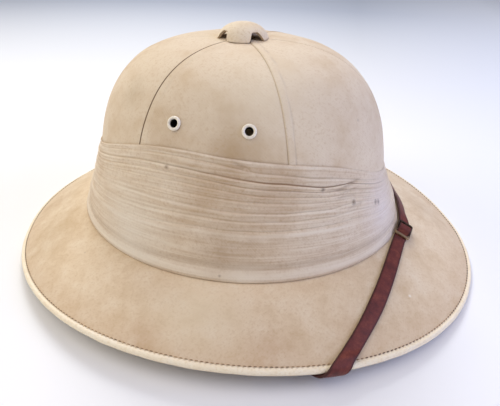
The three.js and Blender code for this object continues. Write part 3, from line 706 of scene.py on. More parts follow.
def shell_mesh(shape):
    """The pith shell, open below and at the ventilator."""
    angles = around(SHELL_COLUMNS)[:, None]
    inset = CLOTH + 2 * GAP
    rows_outside = dome_levels(SHELL_FOOT_ROW, VENT_ROW, rows=30)
    rows_inside = dome_levels(FOOT_ROW, VENT_ROW, rows=40)
    outer = np.append(SHELL_FOOT / shape.dome_height, rows_outside)
    inner = np.append(SHELL_INNER_FOOT / shape.dome_height, rows_inside)
    outside = dome_point(shape, angles, outer, inset)
    inside = dome_point(shape, angles, inner[::-1], inset + PITH_WALL - GAP)
    return tidy_mesh(sweep_mesh("pith_shell", np.concatenate([outside, inside], 1)))


def half_gap(seam, reach):
    """Half of a seam's open line as an angle, kept under 30 degrees near the top."""
    return np.arcsin(np.minimum(0.5, seam.gap / 2 / reach))


def turned_edge(seam, away):
    """How far a turned edge of cloth sinks, by the distance from its seam."""
    near = np.clip(1 - away / seam.roll, 0, 1)
    return SEAM_DEPTH * seam.roll * (1 - np.sqrt(1 - near**2))


def seam_dust(seam, away):
    """How dark the dust in a seam is, by the distance from it."""
    return seam.dark * (1 - smoothstep(away, DUST_EDGE, DUST_REACH * seam.roll))


def panel_mesh(shape, first, last):
    """One sewn panel of the dome's cover between two seams, with turned edges and a lap by the first."""
    start, end = math.radians(first.degrees), math.radians(last.degrees)
    levels = np.concatenate([[PANEL_FOOT / shape.dome_height], dome_levels(FOOT_ROW, VENT_ROW, rows=90)])
    inner_columns = np.linspace(EDGE_COLUMNS[-1], PANEL_HALF, 14)[1:]
    half = 1 - np.concatenate([EDGE_COLUMNS, inner_columns]) / PANEL_HALF
    across = np.concatenate([-half, half[-2::-1]])[:, None]
    edge = dome_point(shape, start, levels)
    reach = np.hypot(edge[:, 0] - DOME_X, edge[:, 1])
    low, high = start + half_gap(first, reach), end - half_gap(last, reach)
    angles = (low + high) / 2 + across * (high - low) / 2
    width = reach * (high - low) / 2
    from_first, from_last = (across + 1) * width, (1 - across) * width
    lift = -turned_edge(first, from_first) - turned_edge(last, from_last)
    lift = lift + first.lap * (1 - smoothstep(from_first, LAP_SLOPE * LAP_WIDTH, LAP_WIDTH))
    lift = lift + PANEL_RIPPLE * ripple(angles, levels * PANEL_CLIMB, PANEL_WAVES)
    outside = dome_point(shape, angles, levels)
    outward = dome_outward(shape, angles, np.clip(levels, *SLOPING_LEVELS))
    inside = dome_point(shape, angles, levels, CLOTH)
    sections = np.concatenate([outside + outward * lift[..., None], inside[:, ::-1]], 1)
    dust = np.maximum(seam_dust(first, from_first), seam_dust(last, from_last))
    lap_line = first.lap / MM * (1 - smoothstep(abs(from_first - LAP_WIDTH), DUST_EDGE, LAP_LINE))
    # the seam's dust, and painted shade along the lap's edge
    dust = np.concatenate([np.maximum(dust, LAP_SHADE * lap_line), np.zeros_like(dust)], 1)
    rise = np.cumsum(np.linalg.norm(np.diff(outside, axis=1, prepend=outside[:, :1]), axis=-1), 1)
    flat = grid(across * width, rise)
    uv = np.concatenate([flat, flat[:, ::-1], flat[:, :1]], 1)
    return tidy_mesh(sweep_mesh("panel", sections, closed=False, uv=uv, crease=dust), sharp=60)


class PITH_OT_shell(bpy.types.Operator):
    """Makes the plain pith shell inside the dome"""

    bl_idname = "pith_helmet.shell"
    bl_label = "Pith Shell"

    def execute(self, context):
        shape, colours = settings(context)
        mesh = tidy_mesh(bore(shell_mesh(shape), shape, EYELETS.values(), SHELL_HOLE))
        cloth = Cloth(
            colours.pith, colours.drill_pale, colours.band_dark, colours.seam,
            mottle=40 * MM, patches=0.78, thread=1.4 * MM, streaks=0,
        )
        material = cloth_material("pith_sheet", cloth, bump=0.12)
        add_piece("shell_piece", mesh, material, "pith_shell", "crown")
        return {"FINISHED"}


class PITH_OT_panels(bpy.types.Operator):
    """Makes the six sewn panels of the dome's cover"""

    bl_idname = "pith_helmet.panels"
    bl_label = "Dome Panels"

    def execute(self, context):
        shape, colours = settings(context)
        marks = marks_on(lambda angle, level: dome_point(shape, angle, level), DOME_TINTS)
        material = cloth_material("khaki_drill", drill_cloth(colours), marks=marks)
        for i in range(len(SEAMS) - 1):
            first, last = SEAMS[i : i + 2]
            mesh = panel_mesh(shape, first, last)
            holes = [degrees for degrees in EYELETS.values() if first.degrees < degrees < last.degrees]
            if holes:
                mesh = tidy_mesh(bore(mesh, shape, holes, PANEL_HOLE), sharp=60)
            add_piece(f"panel_{i + 1}", mesh, material, "helmet_cloth", f"crown_panel_{i + 1}")
        return {"FINISHED"}


# Brim

BRIM_COLUMNS = 480
BRIM_TOP_ROWS = np.concatenate([[BRIM_INSIDE, -0.12, -0.02], np.linspace(0.01, 1, 34)])
BRIM_BOTTOM_ROWS = np.linspace(1, BRIM_INSIDE, 20)
BRIM_MEAN_RADIUS = 140 * MM  # for the run of its weave
BRIM_MEAN_WIDTH = 60 * MM
BRIM_RIPPLE = 0.45 * MM
BRIM_WAVES = ((4, 2.0, 0.5), (7, -3.0, 1.9), (11, 4.0, 3.3), (3, 6.0, 5.0))
BRIM_FREE = (0.05, 0.3)  # shares of its width between which it comes free of the band
BRIM_HELD = (0.8, 0.98)  # and between which the edging holds it again
RIM_DARKENING = 0.16
RIM_DARKENING_START = 0.55  # share of its width
BRIM_STAINS = (
    Tint(-36.0, 0.589, 1.3 * MM, 0.9, "#fbf3e6"),
    Tint(24.1, 0.70, 1.4 * MM, 0.35, "#8d7459"),
    Tint(-130.6, 0.30, 1.0 * MM, 0.4, "#8d7459"),
    Tint(-100, 0.86, 16 * MM, 0.22, "#b58a63"),
    Tint(-90, 0.36, 34 * MM, 0.4, "#f5e6c6"),
    Tint(-150, 0.44, 34 * MM, 0.45, "#c2a47c"),
    Tint(14, 0.5, 30 * MM, 0.25, "#b79d80"),
    Tint(-75, 0.80, 18 * MM, 0.28, "#b98d68"),
    Tint(-55, 0.7, 20 * MM, 0.14, "#b98d68"),
    Tint(100, 0.7, 22 * MM, 0.2, "#b08c66"),
    Tint(190, 0.6, 20 * MM, 0.2, "#b08c66"),
)


def brim_mesh(shape):
    """The sloping brim, a little uneven between the band and the edging, and darker towards its rim."""
    angles = around(BRIM_COLUMNS)[:, None]
    upper = brim_top(shape, angles, BRIM_TOP_ROWS)
    free = smoothstep(BRIM_TOP_ROWS, *BRIM_FREE) * (1 - smoothstep(BRIM_TOP_ROWS, *BRIM_HELD))
    upper[..., 2] += BRIM_RIPPLE * free * ripple(angles, BRIM_TOP_ROWS, BRIM_WAVES)
    sections = np.concatenate([upper, brim_bottom(shape, angles, BRIM_BOTTOM_ROWS)], 1)
    shares = np.concatenate([BRIM_TOP_ROWS, BRIM_BOTTOM_ROWS, BRIM_TOP_ROWS[:1]])
    uv = grid(around(BRIM_COLUMNS, repeated=1)[:, None] * BRIM_MEAN_RADIUS, shares * BRIM_MEAN_WIDTH)
    darkening = RIM_DARKENING * smoothstep(BRIM_TOP_ROWS, RIM_DARKENING_START, 1.0)
    darkening = np.concatenate([darkening, np.zeros_like(BRIM_BOTTOM_ROWS)])
    return tidy_mesh(sweep_mesh("brim_cloth", sections, uv=uv, crease=darkening))


class PITH_OT_brim(bpy.types.Operator):
    """Makes the sloping brim"""

    bl_idname = "pith_helmet.brim"
    bl_label = "Brim"

    def execute(self, context):
        shape, colours = settings(context)
        marks = marks_on(lambda angle, part: brim_top(shape, angle, part), BRIM_STAINS)
        cloth = drill_cloth(colours)._replace(base=colours.brim, mottle=14 * MM, crease=linear("#b5875c"))
        material = cloth_material("brim_drill", cloth, marks=marks)
        add_piece("brim_piece", brim_mesh(shape), material, "helmet_cloth", "brim")
        return {"FINISHED"}


# Binding and its stitches

EDGING_LEG = 1.3 * MM  # of the folded cloth, from its stitches to the rim
EDGING_REACH = 2.1 * MM  # half sizes of its rounded bead, out along the brim and up through it
EDGING_RISE = 2.15 * MM
EDGING_MIDDLE = 0.2 * MM
EDGING_HEEL = 138  # degrees of the bead's section where it meets its stitches
EDGING_FOLD = BRIM_RIM_THICKNESS / 2 + 0.1 * MM  # half height of the fold's inside, round the brim
EDGING_LIP = 0.05 * MM  # thickness of its sewn edge
EDGING_COLUMNS = 1920
EDGING_ROW = 0.6 * MM  # mean height of a row of its section, for the run of its weave
EDGING_RIPPLE = 0.12 * MM
EDGING_WAVES = ((23, 0, 0.3), (37, 0, 1.7), (61, 0, 2.9))
# painted shade darkening the lower half of the edging
EDGING_UNDER_SHADE = 0.55
EDGING_UNDER_SHADE_DROPS = (-1.1 * MM, 0.5 * MM)  # below the rim's middle, between which the painted shade on the edging's lower half sets in
# painted shade along the edging's sewn edge, deepest in the dimple of each stitch
STITCH_SHADE = 0.5
STITCH_SHADE_START = 0.9 * MM  # inwards from the rim
STITCH_SHADE_LEAST = 0.35  # share of it between two stitches
STITCH_TUG_START = 0.2 * MM  # inwards from the rim
STITCH_SINK = 0.2  # share by which a stitch presses the edging down
STITCH_PULL = 0.35 * MM  # how far it draws the sewn edge out
STITCH_INWARDS = EDGING_LEG + 0.2 * MM
STITCH_COLUMNS = 1440
THREAD_WIDTH = 0.55 * MM
THREAD_HEIGHT = 0.5 * MM
THREAD_LIFT = 0.22 * MM


def stitch_line(shape, angle, inwards, lift=0.0, below=False):
    """Points beside the edging, lifted off the brim's top or off its underside."""
    part = 1 - inwards / brim_width(shape, angle)
    up = brim_frame(shape, angle, part)[1]
    if below:
        return brim_bottom(shape, angle, part) - up * lift
    return brim_top(shape, angle, part) + up * lift


def loop_steps(line):
    """Lengths from each point of a closed line to the next."""
    return np.linalg.norm(np.roll(line, -1, 0) - line, axis=-1)


def stitch_count(shape):
    """Stitches in one round of the binding, and the length of that round."""
    length = loop_steps(stitch_line(shape, around(STITCH_COLUMNS), EDGING_LEG)).sum()
    return round(length / shape.stitch_pitch), length


def binding_mesh(shape):
    """Folded edging round the rim, drawn in by each stitch, with painted shade along its sewn edge and on
    its lower half.
    """
    angles = around(EDGING_COLUMNS)
    count, length = stitch_count(shape)
    steps = loop_steps(stitch_line(shape, angles, EDGING_LEG))
    run = np.concatenate([[0], np.cumsum(steps)[:-1]])
    pull = (0.5 + 0.5 * np.cos(2 * math.pi * count * run / length))[:, None]
    leg = -EDGING_LEG - GAP
    slot = leg + 0.1 * MM
    nose = np.radians(np.linspace(EDGING_HEEL, -EDGING_HEEL, 25))
    bead = grid(EDGING_MIDDLE + EDGING_REACH * np.cos(nose), EDGING_RISE * np.sin(nose))
    heel = np.array([[leg, EDGING_FOLD + EDGING_LIP]])
    inner = np.array([[slot, -EDGING_FOLD], [GAP, -EDGING_FOLD], [GAP, EDGING_FOLD], [slot, EDGING_FOLD]])
    outline = np.concatenate([heel, bead, heel * [1, -1], inner])
    out, up = outline.T
    tug = smoothstep(-out, STITCH_TUG_START, -leg) * (abs(up) > EDGING_FOLD + EDGING_LIP)
    up = up * (1 - STITCH_SINK * tug * pull)
    out = out + STITCH_PULL * tug * pull
    wave = EDGING_RIPPLE * ripple(angles[:, None], 0, EDGING_WAVES)
    sections = rim_place(shape, angles[:, None], out + wave * (out > 0), up)
    sections[..., 2] = np.maximum(sections[..., 2], 0)
    # painted shade along the sewn edge, deepest at each stitch
    crease = STITCH_SHADE * smoothstep(-out, STITCH_SHADE_START, -leg) * between(STITCH_SHADE_LEAST, 1, pull)
    # painted shade on the edging's lower half
    crease = np.maximum(crease, EDGING_UNDER_SHADE * smoothstep(-up, *EDGING_UNDER_SHADE_DROPS))
    uv = grid(np.append(run, length)[:, None], np.arange(len(outline) + 1) * EDGING_ROW)
    return tidy_mesh(sweep_mesh("edging", sections, uv=uv, crease=crease), sharp=60)


class PITH_OT_binding(bpy.types.Operator):
    """Makes the folded cotton edging round the rim"""

    bl_idname = "pith_helmet.binding"
    bl_label = "Binding"

    def execute(self, context):
        shape, colours = settings(context)
        # The band's crease colour is the painted shade on the edging's lower half and along its stitches.
        cloth = Cloth(
            colours.binding, colours.binding_pale, colours.binding_dark, colours.band_crease,
            mottle=8 * MM, patches=0.5, thread=0.7 * MM, streaks=0,
        )
        material = cloth_material("cotton_edging", cloth)
        add_piece("binding_piece", binding_mesh(shape), material, "binding_tape", "brim_binding")
        return {"FINISHED"}


def stitch_tree(material):
    """Geometry nodes that lay stitches along a closed line of points."""
    tree = bpy.data.node_groups.new("stitches", "GeometryNodeTree")
    face = tree.interface
    face.new_socket("Line", in_out="INPUT", socket_type="NodeSocketGeometry")
    for label in ("Pitch", "Length", "Width", "Height"):
        face.new_socket(label, in_out="INPUT", socket_type="NodeSocketFloat")
    face.new_socket("Stitches", in_out="OUTPUT", socket_type="NodeSocketGeometry")
    sizes = add_node(tree, "NodeGroupInput").outputs
    curve = add_node(tree, "GeometryNodeMeshToCurve", {0: sizes["Line"]})
    spacing = {"Curve": curve.outputs[0], "Length": sizes["Pitch"]}
    laid = add_node(tree, "GeometryNodeResampleCurve", spacing, mode="LENGTH")
    ball = add_node(tree, "GeometryNodeMeshUVSphere", {"Segments": 10, "Rings": 6, "Radius": 0.5})
    sides = {0: sizes["Length"], 1: sizes["Width"], 2: sizes["Height"]}
    scale = add_node(tree, "ShaderNodeCombineXYZ", sides)
    shaped = {"Geometry": ball.outputs[0], "Scale": scale.outputs[0]}
    stitch = add_node(tree, "GeometryNodeTransform", shaped)
    tangent = add_node(tree, "GeometryNodeInputTangent")
    along = {"Vector": tangent.outputs[0]}
    rotation = add_node(tree, "FunctionNodeAlignRotationToVector", along, axis="X")
    sewn = {"Points": laid.outputs[0], "Instance": stitch.outputs[0], "Rotation": rotation.outputs[0]}
    placed = add_node(tree, "GeometryNodeInstanceOnPoints", sewn)
    real = add_node(tree, "GeometryNodeRealizeInstances", {0: placed.outputs[0]})
    smooth = add_node(tree, "GeometryNodeSetShadeSmooth", {0: real.outputs[0]})
    dyed = add_node(tree, "GeometryNodeSetMaterial", {"Geometry": smooth.outputs[0], "Material": material})
    add_node(tree, "NodeGroupOutput", {0: dyed.outputs[0]})
    return tree


def stitch_mesh(tree, points, sizes):
    """Stitches along one closed line of points."""
    line = bpy.data.meshes.new("stitch_line")
    count = len(points)
    line.from_pydata(points.tolist(), [(i, (i + 1) % count) for i in range(count)], [])

    def sew(carrier):
        """Lays the stitches with the tree's inputs set by their identifiers."""
        modifier = carrier.modifiers.new("stitches", "NODES")
        modifier.node_group = tree
        for item in tree.interface.items_tree:
            if item.name in sizes:
                modifier[item.identifier] = sizes[item.name]

    return evaluated_mesh("stitches", line, sew)


class PITH_OT_stitches(bpy.types.Operator):
    """Sews the binding with two rounds of thread, above and below the brim"""

    bl_idname = "pith_helmet.stitches"
    bl_label = "Stitches"

    def execute(self, context):
        shape, colours = settings(context)
        material = thread_material(colours)
        tree = stitch_tree(material)
        count = stitch_count(shape)[0]
        sizes = {"Length": shape.stitch_length, "Width": THREAD_WIDTH, "Height": THREAD_HEIGHT}
        for name, below in (("stitches_above", False), ("stitches_below", True)):
            line = stitch_line(shape, around(STITCH_COLUMNS), STITCH_INWARDS, THREAD_LIFT, below)
            sizes["Pitch"] = loop_steps(line).sum() / count
            add_piece(name, stitch_mesh(tree, line, sizes), material, "binding_tape")
        return {"FINISHED"}


# Pleated band

BAND_ANGLES = np.radians([0, 38, 52, 68, 90, 118, 180])  # from the front to the back, on both sides
Pleat = namedtuple("Pleat", "front pucker quarter fore side rear back depth dark light")
PLEATS = (  # height shares of each fold's upper edge at those angles, its stand-out, painted crease shade and painted highlight on its edge
    Pleat(1.00, 1.00, 1.00, 1.00, 1.00, 1.00, 1.00, 0.9 * MM, 0.3, 0.45),
    Pleat(0.91, 0.89, 0.89, 0.91, 0.945, 0.955, 0.95, 0.7 * MM, 0.3, 0.4),
    Pleat(0.84, 0.85, 0.812, 0.84, 0.862, 0.88, 0.87, 1.4 * MM, 0.95, 0.6),
    Pleat(0.775, 0.79, 0.77, 0.785, 0.808, 0.82, 0.80, 0.8 * MM, 0.35, 0.4),
    Pleat(0.71, 0.745, 0.727, 0.732, 0.752, 0.76, 0.735, 0.7 * MM, 0.25, 0.35),
    Pleat(0.65, 0.70, 0.68, 0.68, 0.685, 0.685, 0.67, 0.6 * MM, 0.2, 0.4),
    Pleat(0.58, 0.655, 0.61, 0.595, 0.592, 0.605, 0.60, 0.8 * MM, 0.25, 0.6),
    Pleat(0.51, 0.57, 0.54, 0.525, 0.52, 0.50, 0.51, 0.7 * MM, 0.2, 0.4),
    Pleat(0.43, 0.48, 0.462, 0.447, 0.436, 0.39, 0.42, 0.9 * MM, 0.25, 0.6),
)
PLEAT_STRENGTH = (0.08, 0.5, 1.0, 1.0, 0.85, 0.6, 0.55)  # at the same angles
PLEAT_VARIETY = 0.35  # share by which a fold's stand-out varies round the helmet
# strength of the painted crease shade, at the same angles
CREASE_STRENGTH = (0.0, 0.9, 1.0, 1.0, 0.6, 0.3, 0.35)
SWAY = 0.004  # height share by which the folds wander
SWAY_WAVES = ((5, 0, 0.7), (8, 0, 2.2), (13, 0, 4.4))
FOLD_ROWS = (  # from a fold's upper edge to the next: share of the way, share of the depth
    (0.0, 0.0), (0.05, 0.5), (0.1, 0.84), (0.16, 1.0), (0.24, 1.0), (0.36, 0.86),
    (0.5, 0.64), (0.66, 0.42), (0.8, 0.22), (0.91, 0.07), (0.98, -0.05),
)
FOLD_EDGE = (0.11, 0.07)  # middle and width of the painted highlight along a fold's upper edge, as shares of the way
FOLD_CREASES = (0.05, 0.8)  # shares of the way before and after which it lies in a crease, painted in shade
LOWER_ROWS = (  # from the last fold down to the brim: share of the way, stand-out in millimetres
    (0.0, 0.0), (0.03, 0.5), (0.06, 0.8), (0.11, 0.95), (0.18, 0.9), (0.27, 0.55), (0.37, 0.8),
    (0.48, 0.45), (0.57, 0.3), (0.64, 0.0), (0.7, -0.35), (0.74, -0.4), (0.775, -0.05), (0.81, 0.5),
    (0.85, 0.9), (0.9, 1.0), (0.95, 0.8), (0.985, 0.35), (1.0, -0.1),
)
LOWER_EDGE = (0.07, 0.03)  # middle and width of its painted highlights, on its upper edge and on its roll, and of the painted shade in the hollow above the roll
ROLL_EDGE = (0.86, 0.07)
ROLL_HOLLOW = (0.68, 0.09)
ROLL_WAY = (0.74, 0.85)  # shares of that way between which the roll above the brim starts
ROLL_FOOT = 0.98  # share at which it turns under
ROLL_LIGHT = 0.6
ROLL_SHADE = 0.5  # painted shade where it turns under, and in the hollow above it
HOLLOW_SHADE = 0.16
PRESSED_ROLL = 0.5 * MM  # its stand-out where the strap lies against it
PRESS_ANGLES = (math.radians(20), math.radians(32))  # from the front, between which the strap leaves it
Pucker = namedtuple("Pucker", "start_angle start_height end_angle end_height width depth")
PUCKERS = (  # lines of pulled cloth, mostly near the right front, from degrees and height share to the same
    Pucker(-46, 0.79, -35, 0.90, 0.9 * MM, 0.7 * MM),
    Pucker(-45, 0.755, -36, 0.81, 0.7 * MM, 0.5 * MM),
    Pucker(-51, 0.795, -42, 0.79, 0.7 * MM, 0.5 * MM),
    Pucker(-47, 0.71, -38, 0.735, 0.8 * MM, 0.5 * MM),
    Pucker(-43, 0.60, -35, 0.65, 0.9 * MM, 0.4 * MM),
    Pucker(-83, 0.99, -77, 0.925, 1.2 * MM, 0.5 * MM),
    Pucker(132, 0.86, 146, 0.80, 1.2 * MM, 0.5 * MM),
    Pucker(56, 0.82, 70, 0.86, 1.2 * MM, 0.5 * MM),
)
PUCKER_START = (-0.15, 0.25)  # shares of its length between which it sets in, and fades again
PUCKER_END = (0.75, 1.15)
PUCKER_SHADE = 0.5  # painted shade for each millimetre that it sinks
BAND_DROPS = np.array([1.7, 14.5, 0.5, 2.1, 1.3]) * MM  # of its top at the front, once to five times round
BAND_TOP_THICKNESS = 0.5 * MM
BAND_TOP_EASE = (0.1, 0.3, 1, 1, 1, 1, 1)  # share of it at the same angles: the cloth is thin in front
BAND_CLEAR = 0.4  # share of it between the dome and the band
BAND_INNER_FOOT = 1.45 * MM
BAND_INNER_ROWS = np.array([0.15, 0.4, 0.7, 0.9, 0.985])
BAND_COLUMNS = 600
BAND_MEAN_RADIUS = 105 * MM  # for the run of its weave, and the lengths of the pulled cloth
BAND_MEAN_HEIGHT = 60 * MM
BAND_RIPPLE = 0.35 * MM
BAND_CLIMB = 20
BAND_WAVES = ((6, 1.0, 0.2), (11, -1.4, 1.1), (19, 2.3, 3.7), (31, -3.1, 5.2))
BAND_FREE = (0.02, 0.2)  # height shares between which it comes free of the brim
BAND_MARK_OUT = 1 * MM
BAND_STAINS_AND_LIGHT = (
    Tint(-90, 0.7, 30 * MM, 0.4, "#a97c42"),
    Tint(-72, 0.75, 28 * MM, 0.4, "#a97c48"),
    # painted highlight on the roll at the band's foot
    Tint(-80, 0.03, 16 * MM, 0.5, "#fbf1dc"),
    Tint(-85, 0.26, 22 * MM, 0.4, "#a98a68"),
    # painted light on the lower band, behind the right side
    Tint(-118, 0.22, 34 * MM, 0.5, "#f3eddf"),
    # painted cool light on the band, right of the front
    Tint(-22, 0.5, 30 * MM, 0.4, "#f5eef0"),
    Tint(75, 0.7, 26 * MM, 0.15, "#a3805c"),
    Tint(-105.7, 0.857, 1.8 * MM, 0.7, "#8a6d52"),
    Tint(-26.4, 0.61, 2.5 * MM, 0.9, "#5f4a40"),
    Tint(-24.2, 0.605, 2.5 * MM, 0.9, "#5f4a40"),
    Tint(-52.5, 0.80, 2.0 * MM, 0.8, "#5e4836"),
    Tint(-39.5, 0.665, 2.3 * MM, 1.0, "#5e4836"),
    Tint(-86, 0.06, 1.2 * MM, 0.5, "#8a6d52"),
)


def eased(values, angle):
    """Values given at the band's angles, eased between them, for any angle round the helmet."""
    turned = np.abs(half_turn(angle))
    index = np.clip(np.searchsorted(BAND_ANGLES, turned, side="right") - 1, 0, len(BAND_ANGLES) - 2)
    values = np.asarray(values)
    part = smoothstep(turned, BAND_ANGLES[index], BAND_ANGLES[index + 1])
    return between(values[index], values[index + 1], part)


def band_top(shape, angle):
    """Height of the band above the dome's foot: higher at the sides than at the front and back."""
    return shape.band_height - sum(drop * np.cos((i + 1) * angle) for i, drop in enumerate(BAND_DROPS))


def band_point(shape, angle, part, out):
    """Points on the band, from 0 at its foot to 1 at its top, standing out from its plain slope."""
    thickness = BAND_TOP_THICKNESS * eased(BAND_TOP_EASE, angle)
    top = dome_point(shape, angle, band_top(shape, angle) / shape.dome_height, -thickness)
    foot = brim_top(shape, angle, 0.0)
    foot[..., 2] = shape.dome_base + GAP
    away = grid(np.cos(angle), np.sin(angle), 0)
    return between(foot, top, np.asarray(part)[..., None]) + away * np.asarray(out)[..., None]


def fold_rows(angle, tops, strength, soiled):
    """Rows of the folds at each angle: height share, stand-out, painted shade and painted highlight. The
    soiled argument sets how strong the painted crease shade is.
    """
    for i, (pleat, below) in enumerate(zip(PLEATS, PLEATS[1:])):
        waves = ((3, 0, i), (7, 0, 2.1 * i), (17, 0, 1.3 * i))
        lively = strength * (1 + PLEAT_VARIETY * ripple(angle, 0, waves))
        for way, depth in FOLD_ROWS:
            dark = below.dark * ramp(way, FOLD_CREASES[1], 1) + pleat.dark * ramp(way, FOLD_CREASES[0], 0)
            light = pleat.light * bell(way, *FOLD_EDGE)
            height = between(tops[i], tops[i + 1], way)
            yield height, pleat.depth * lively * depth, dark * soiled, light * strength


def lower_rows(angle, top, strength):
    """Rows of the plain lower part at each angle, told in the same way, two for each step of its outline."""
    pressed = 1 - smoothstep(np.abs(half_turn(angle)), *PRESS_ANGLES)
    ways, depths = zip(*LOWER_ROWS)
    for way in np.interp(np.arange(0, len(ways) - 0.5, 0.5), np.arange(len(ways)), ways):
        out = np.interp(way, ways, depths) * MM
        roll = smoothstep(way, *ROLL_WAY) * pressed
        dark = HOLLOW_SHADE * bell(way, *ROLL_HOLLOW) + ROLL_SHADE * ramp(way, ROLL_FOOT, 1)
        light = PLEATS[-1].light * bell(way, *LOWER_EDGE) * strength
        light = light + ROLL_LIGHT * bell(way, *ROLL_EDGE) * (1 - pressed)
        yield top * (1 - way), between(out, PRESSED_ROLL, roll), np.full_like(angle, dark), light


def band_rows(angle):
    """Height shares, stand-out, painted shade and painted highlight of the band's rows at each angle, from
    its top down.
    """
    # soiled is the strength of the painted crease shade
    strength, soiled = eased(PLEAT_STRENGTH, angle), eased(CREASE_STRENGTH, angle)
    sway = SWAY * ripple(angle, 0, SWAY_WAVES)
    tops = [eased(pleat[: len(BAND_ANGLES)], angle) + (sway if i else 0) for i, pleat in enumerate(PLEATS)]
    rows = [*fold_rows(angle, tops, strength, soiled), *lower_rows(angle, tops[-1], strength)]
    return [np.stack(column, 1) for column in zip(*rows)]


def pucker_depth(shape, angle, height):
    """How far the pulled cloth sinks at places on the band."""
    total = np.zeros_like(height)
    rise = band_top(shape, angle)
    for pucker in PUCKERS:
        start = math.radians(pucker.start_angle)
        x = (half_turn(angle) - start) * BAND_MEAN_RADIUS
        y = (height - pucker.start_height) * rise
        end_x = (math.radians(pucker.end_angle) - start) * BAND_MEAN_RADIUS
        end_y = (pucker.end_height - pucker.start_height) * rise
        length = np.hypot(end_x, end_y)
        along = (x * end_x + y * end_y) / length**2
        aside = (y * end_x - x * end_y) / length
        window = smoothstep(along, *PUCKER_START) * (1 - smoothstep(along, *PUCKER_END))
        total += pucker.depth * window * bell(aside, 0, pucker.width)
    return total


def puggaree_mesh(shape):
    """The pleated band, with its folds, pulled cloth and rolled lower edge, and their painted shade and
    highlights.
    """
    angles = around(BAND_COLUMNS)
    heights, outs, dark, light = band_rows(angles)
    wide = angles[:, None]
    sunk = pucker_depth(shape, wide, heights)
    soft = BAND_RIPPLE * ripple(wide, heights * BAND_CLIMB, BAND_WAVES)
    outs = outs - sunk + soft * smoothstep(heights, *BAND_FREE)
    outside = band_point(shape, wide + 0 * heights, heights, outs)
    foot = np.full_like(wide, BAND_INNER_FOOT)
    inner_heights = np.concatenate([foot, BAND_INNER_ROWS * band_top(shape, wide)], 1)
    clear = BAND_CLEAR * BAND_TOP_THICKNESS * eased(BAND_TOP_EASE, wide)
    inside = dome_point(shape, wide, inner_heights / shape.dome_height, -clear)
    plain = np.zeros_like(inner_heights)
    crease = np.concatenate([np.clip(dark + PUCKER_SHADE * sunk / MM, 0, 1), plain], 1)
    crest = np.concatenate([light, plain], 1)
    up = np.concatenate([heights, plain, heights[:, :1]], 1) * BAND_MEAN_HEIGHT
    uv = grid(around(BAND_COLUMNS, repeated=1)[:, None] * BAND_MEAN_RADIUS, np.concatenate([up, up[:1]]))
    sections = np.concatenate([outside, inside], 1)
    return tidy_mesh(sweep_mesh("pleated_cloth", sections, uv=uv, crease=crease, crest=crest), sharp=75)


class PITH_OT_puggaree(bpy.types.Operator):
    """Makes the pleated band round the dome"""

    bl_idname = "pith_helmet.puggaree"
    bl_label = "Puggaree"

    def execute(self, context):
        shape, colours = settings(context)
        marks = marks_on(lambda angle, part: band_point(shape, angle, part, BAND_MARK_OUT), BAND_STAINS_AND_LIGHT)
        cloth = Cloth(
            colours.band, colours.band_pale_and_highlight, colours.band_dark, colours.band_crease,
            mottle=26 * MM, patches=0.5, thread=0.8 * MM, streaks=0.5,
        )
        material = cloth_material("pleated_cotton", cloth, marks=marks)
        add_piece("puggaree_piece", puggaree_mesh(shape), material, "pleated_cloth", "puggaree")
        return {"FINISHED"}


# Ventilator cap

CAP_RADIUS = 15.4 * MM
CAP_HEIGHT = 9.3 * MM
CAP_WALL = 1.8 * MM
CAP_LOBES = 4
CAP_FLARE = 1 * MM
CAP_FLARE_POWER = 6  # how late the flare sets in on the way down
CAP_ARCH = 34  # degrees of the upright section that each air gap takes away
CAP_GAP = (0.55, 0.95)  # shares of the way between two lobes, from which a gap opens and is full
CAP_REACH_POWER = 0.95  # fullness of the upright section
CAP_COLUMNS = 192
CAP_ROWS = 40
CAP_EDGE = 0.985  # share of the way down at which its edge starts to turn under
CAP_EDGE_ROWS = np.linspace(0, 1, 7)[1:-1]  # shares of the wall's thickness
CAP_ROW = 0.5 * MM  # mean height of a row and mean radius, for the run of its weave
CAP_MEAN_RADIUS = 12 * MM
CAP_SHADE = (0.25, 0.35, 0.7)  # painted shade at the foot of its outside, on its edge and inside
CAP_SHADE_START = 0.93  # share of the way down
STEM_RADIUS = 5 * MM
STEM_LENGTH = 20 * MM
STEM_BEVEL = 0.5 * MM
STEM_SIDES = 40
# painted shade over the whole stem
STEM_SHADE = 0.4


def cap_point(shape, angle, part, inset):
    """Points on the cap, from 0 at its top to 1 at its lower edge, an inset below its cloth."""
    lobe = (1 - np.cos(CAP_LOBES * angle)) / 2
    gap = smoothstep(lobe, *CAP_GAP)
    polar = np.radians(90 - CAP_ARCH * gap) * part
    curl = CAP_FLARE * (1 - gap) * part**CAP_FLARE_POWER
    radius = (CAP_RADIUS - inset) * np.sin(polar) ** CAP_REACH_POWER + curl
    rise = (CAP_HEIGHT - inset) * np.clip(np.cos(polar), 0, 1)
    z = shape.dome_base + shape.dome_height + rise
    return grid(DOME_X + radius * np.cos(angle), radius * np.sin(angle), z)


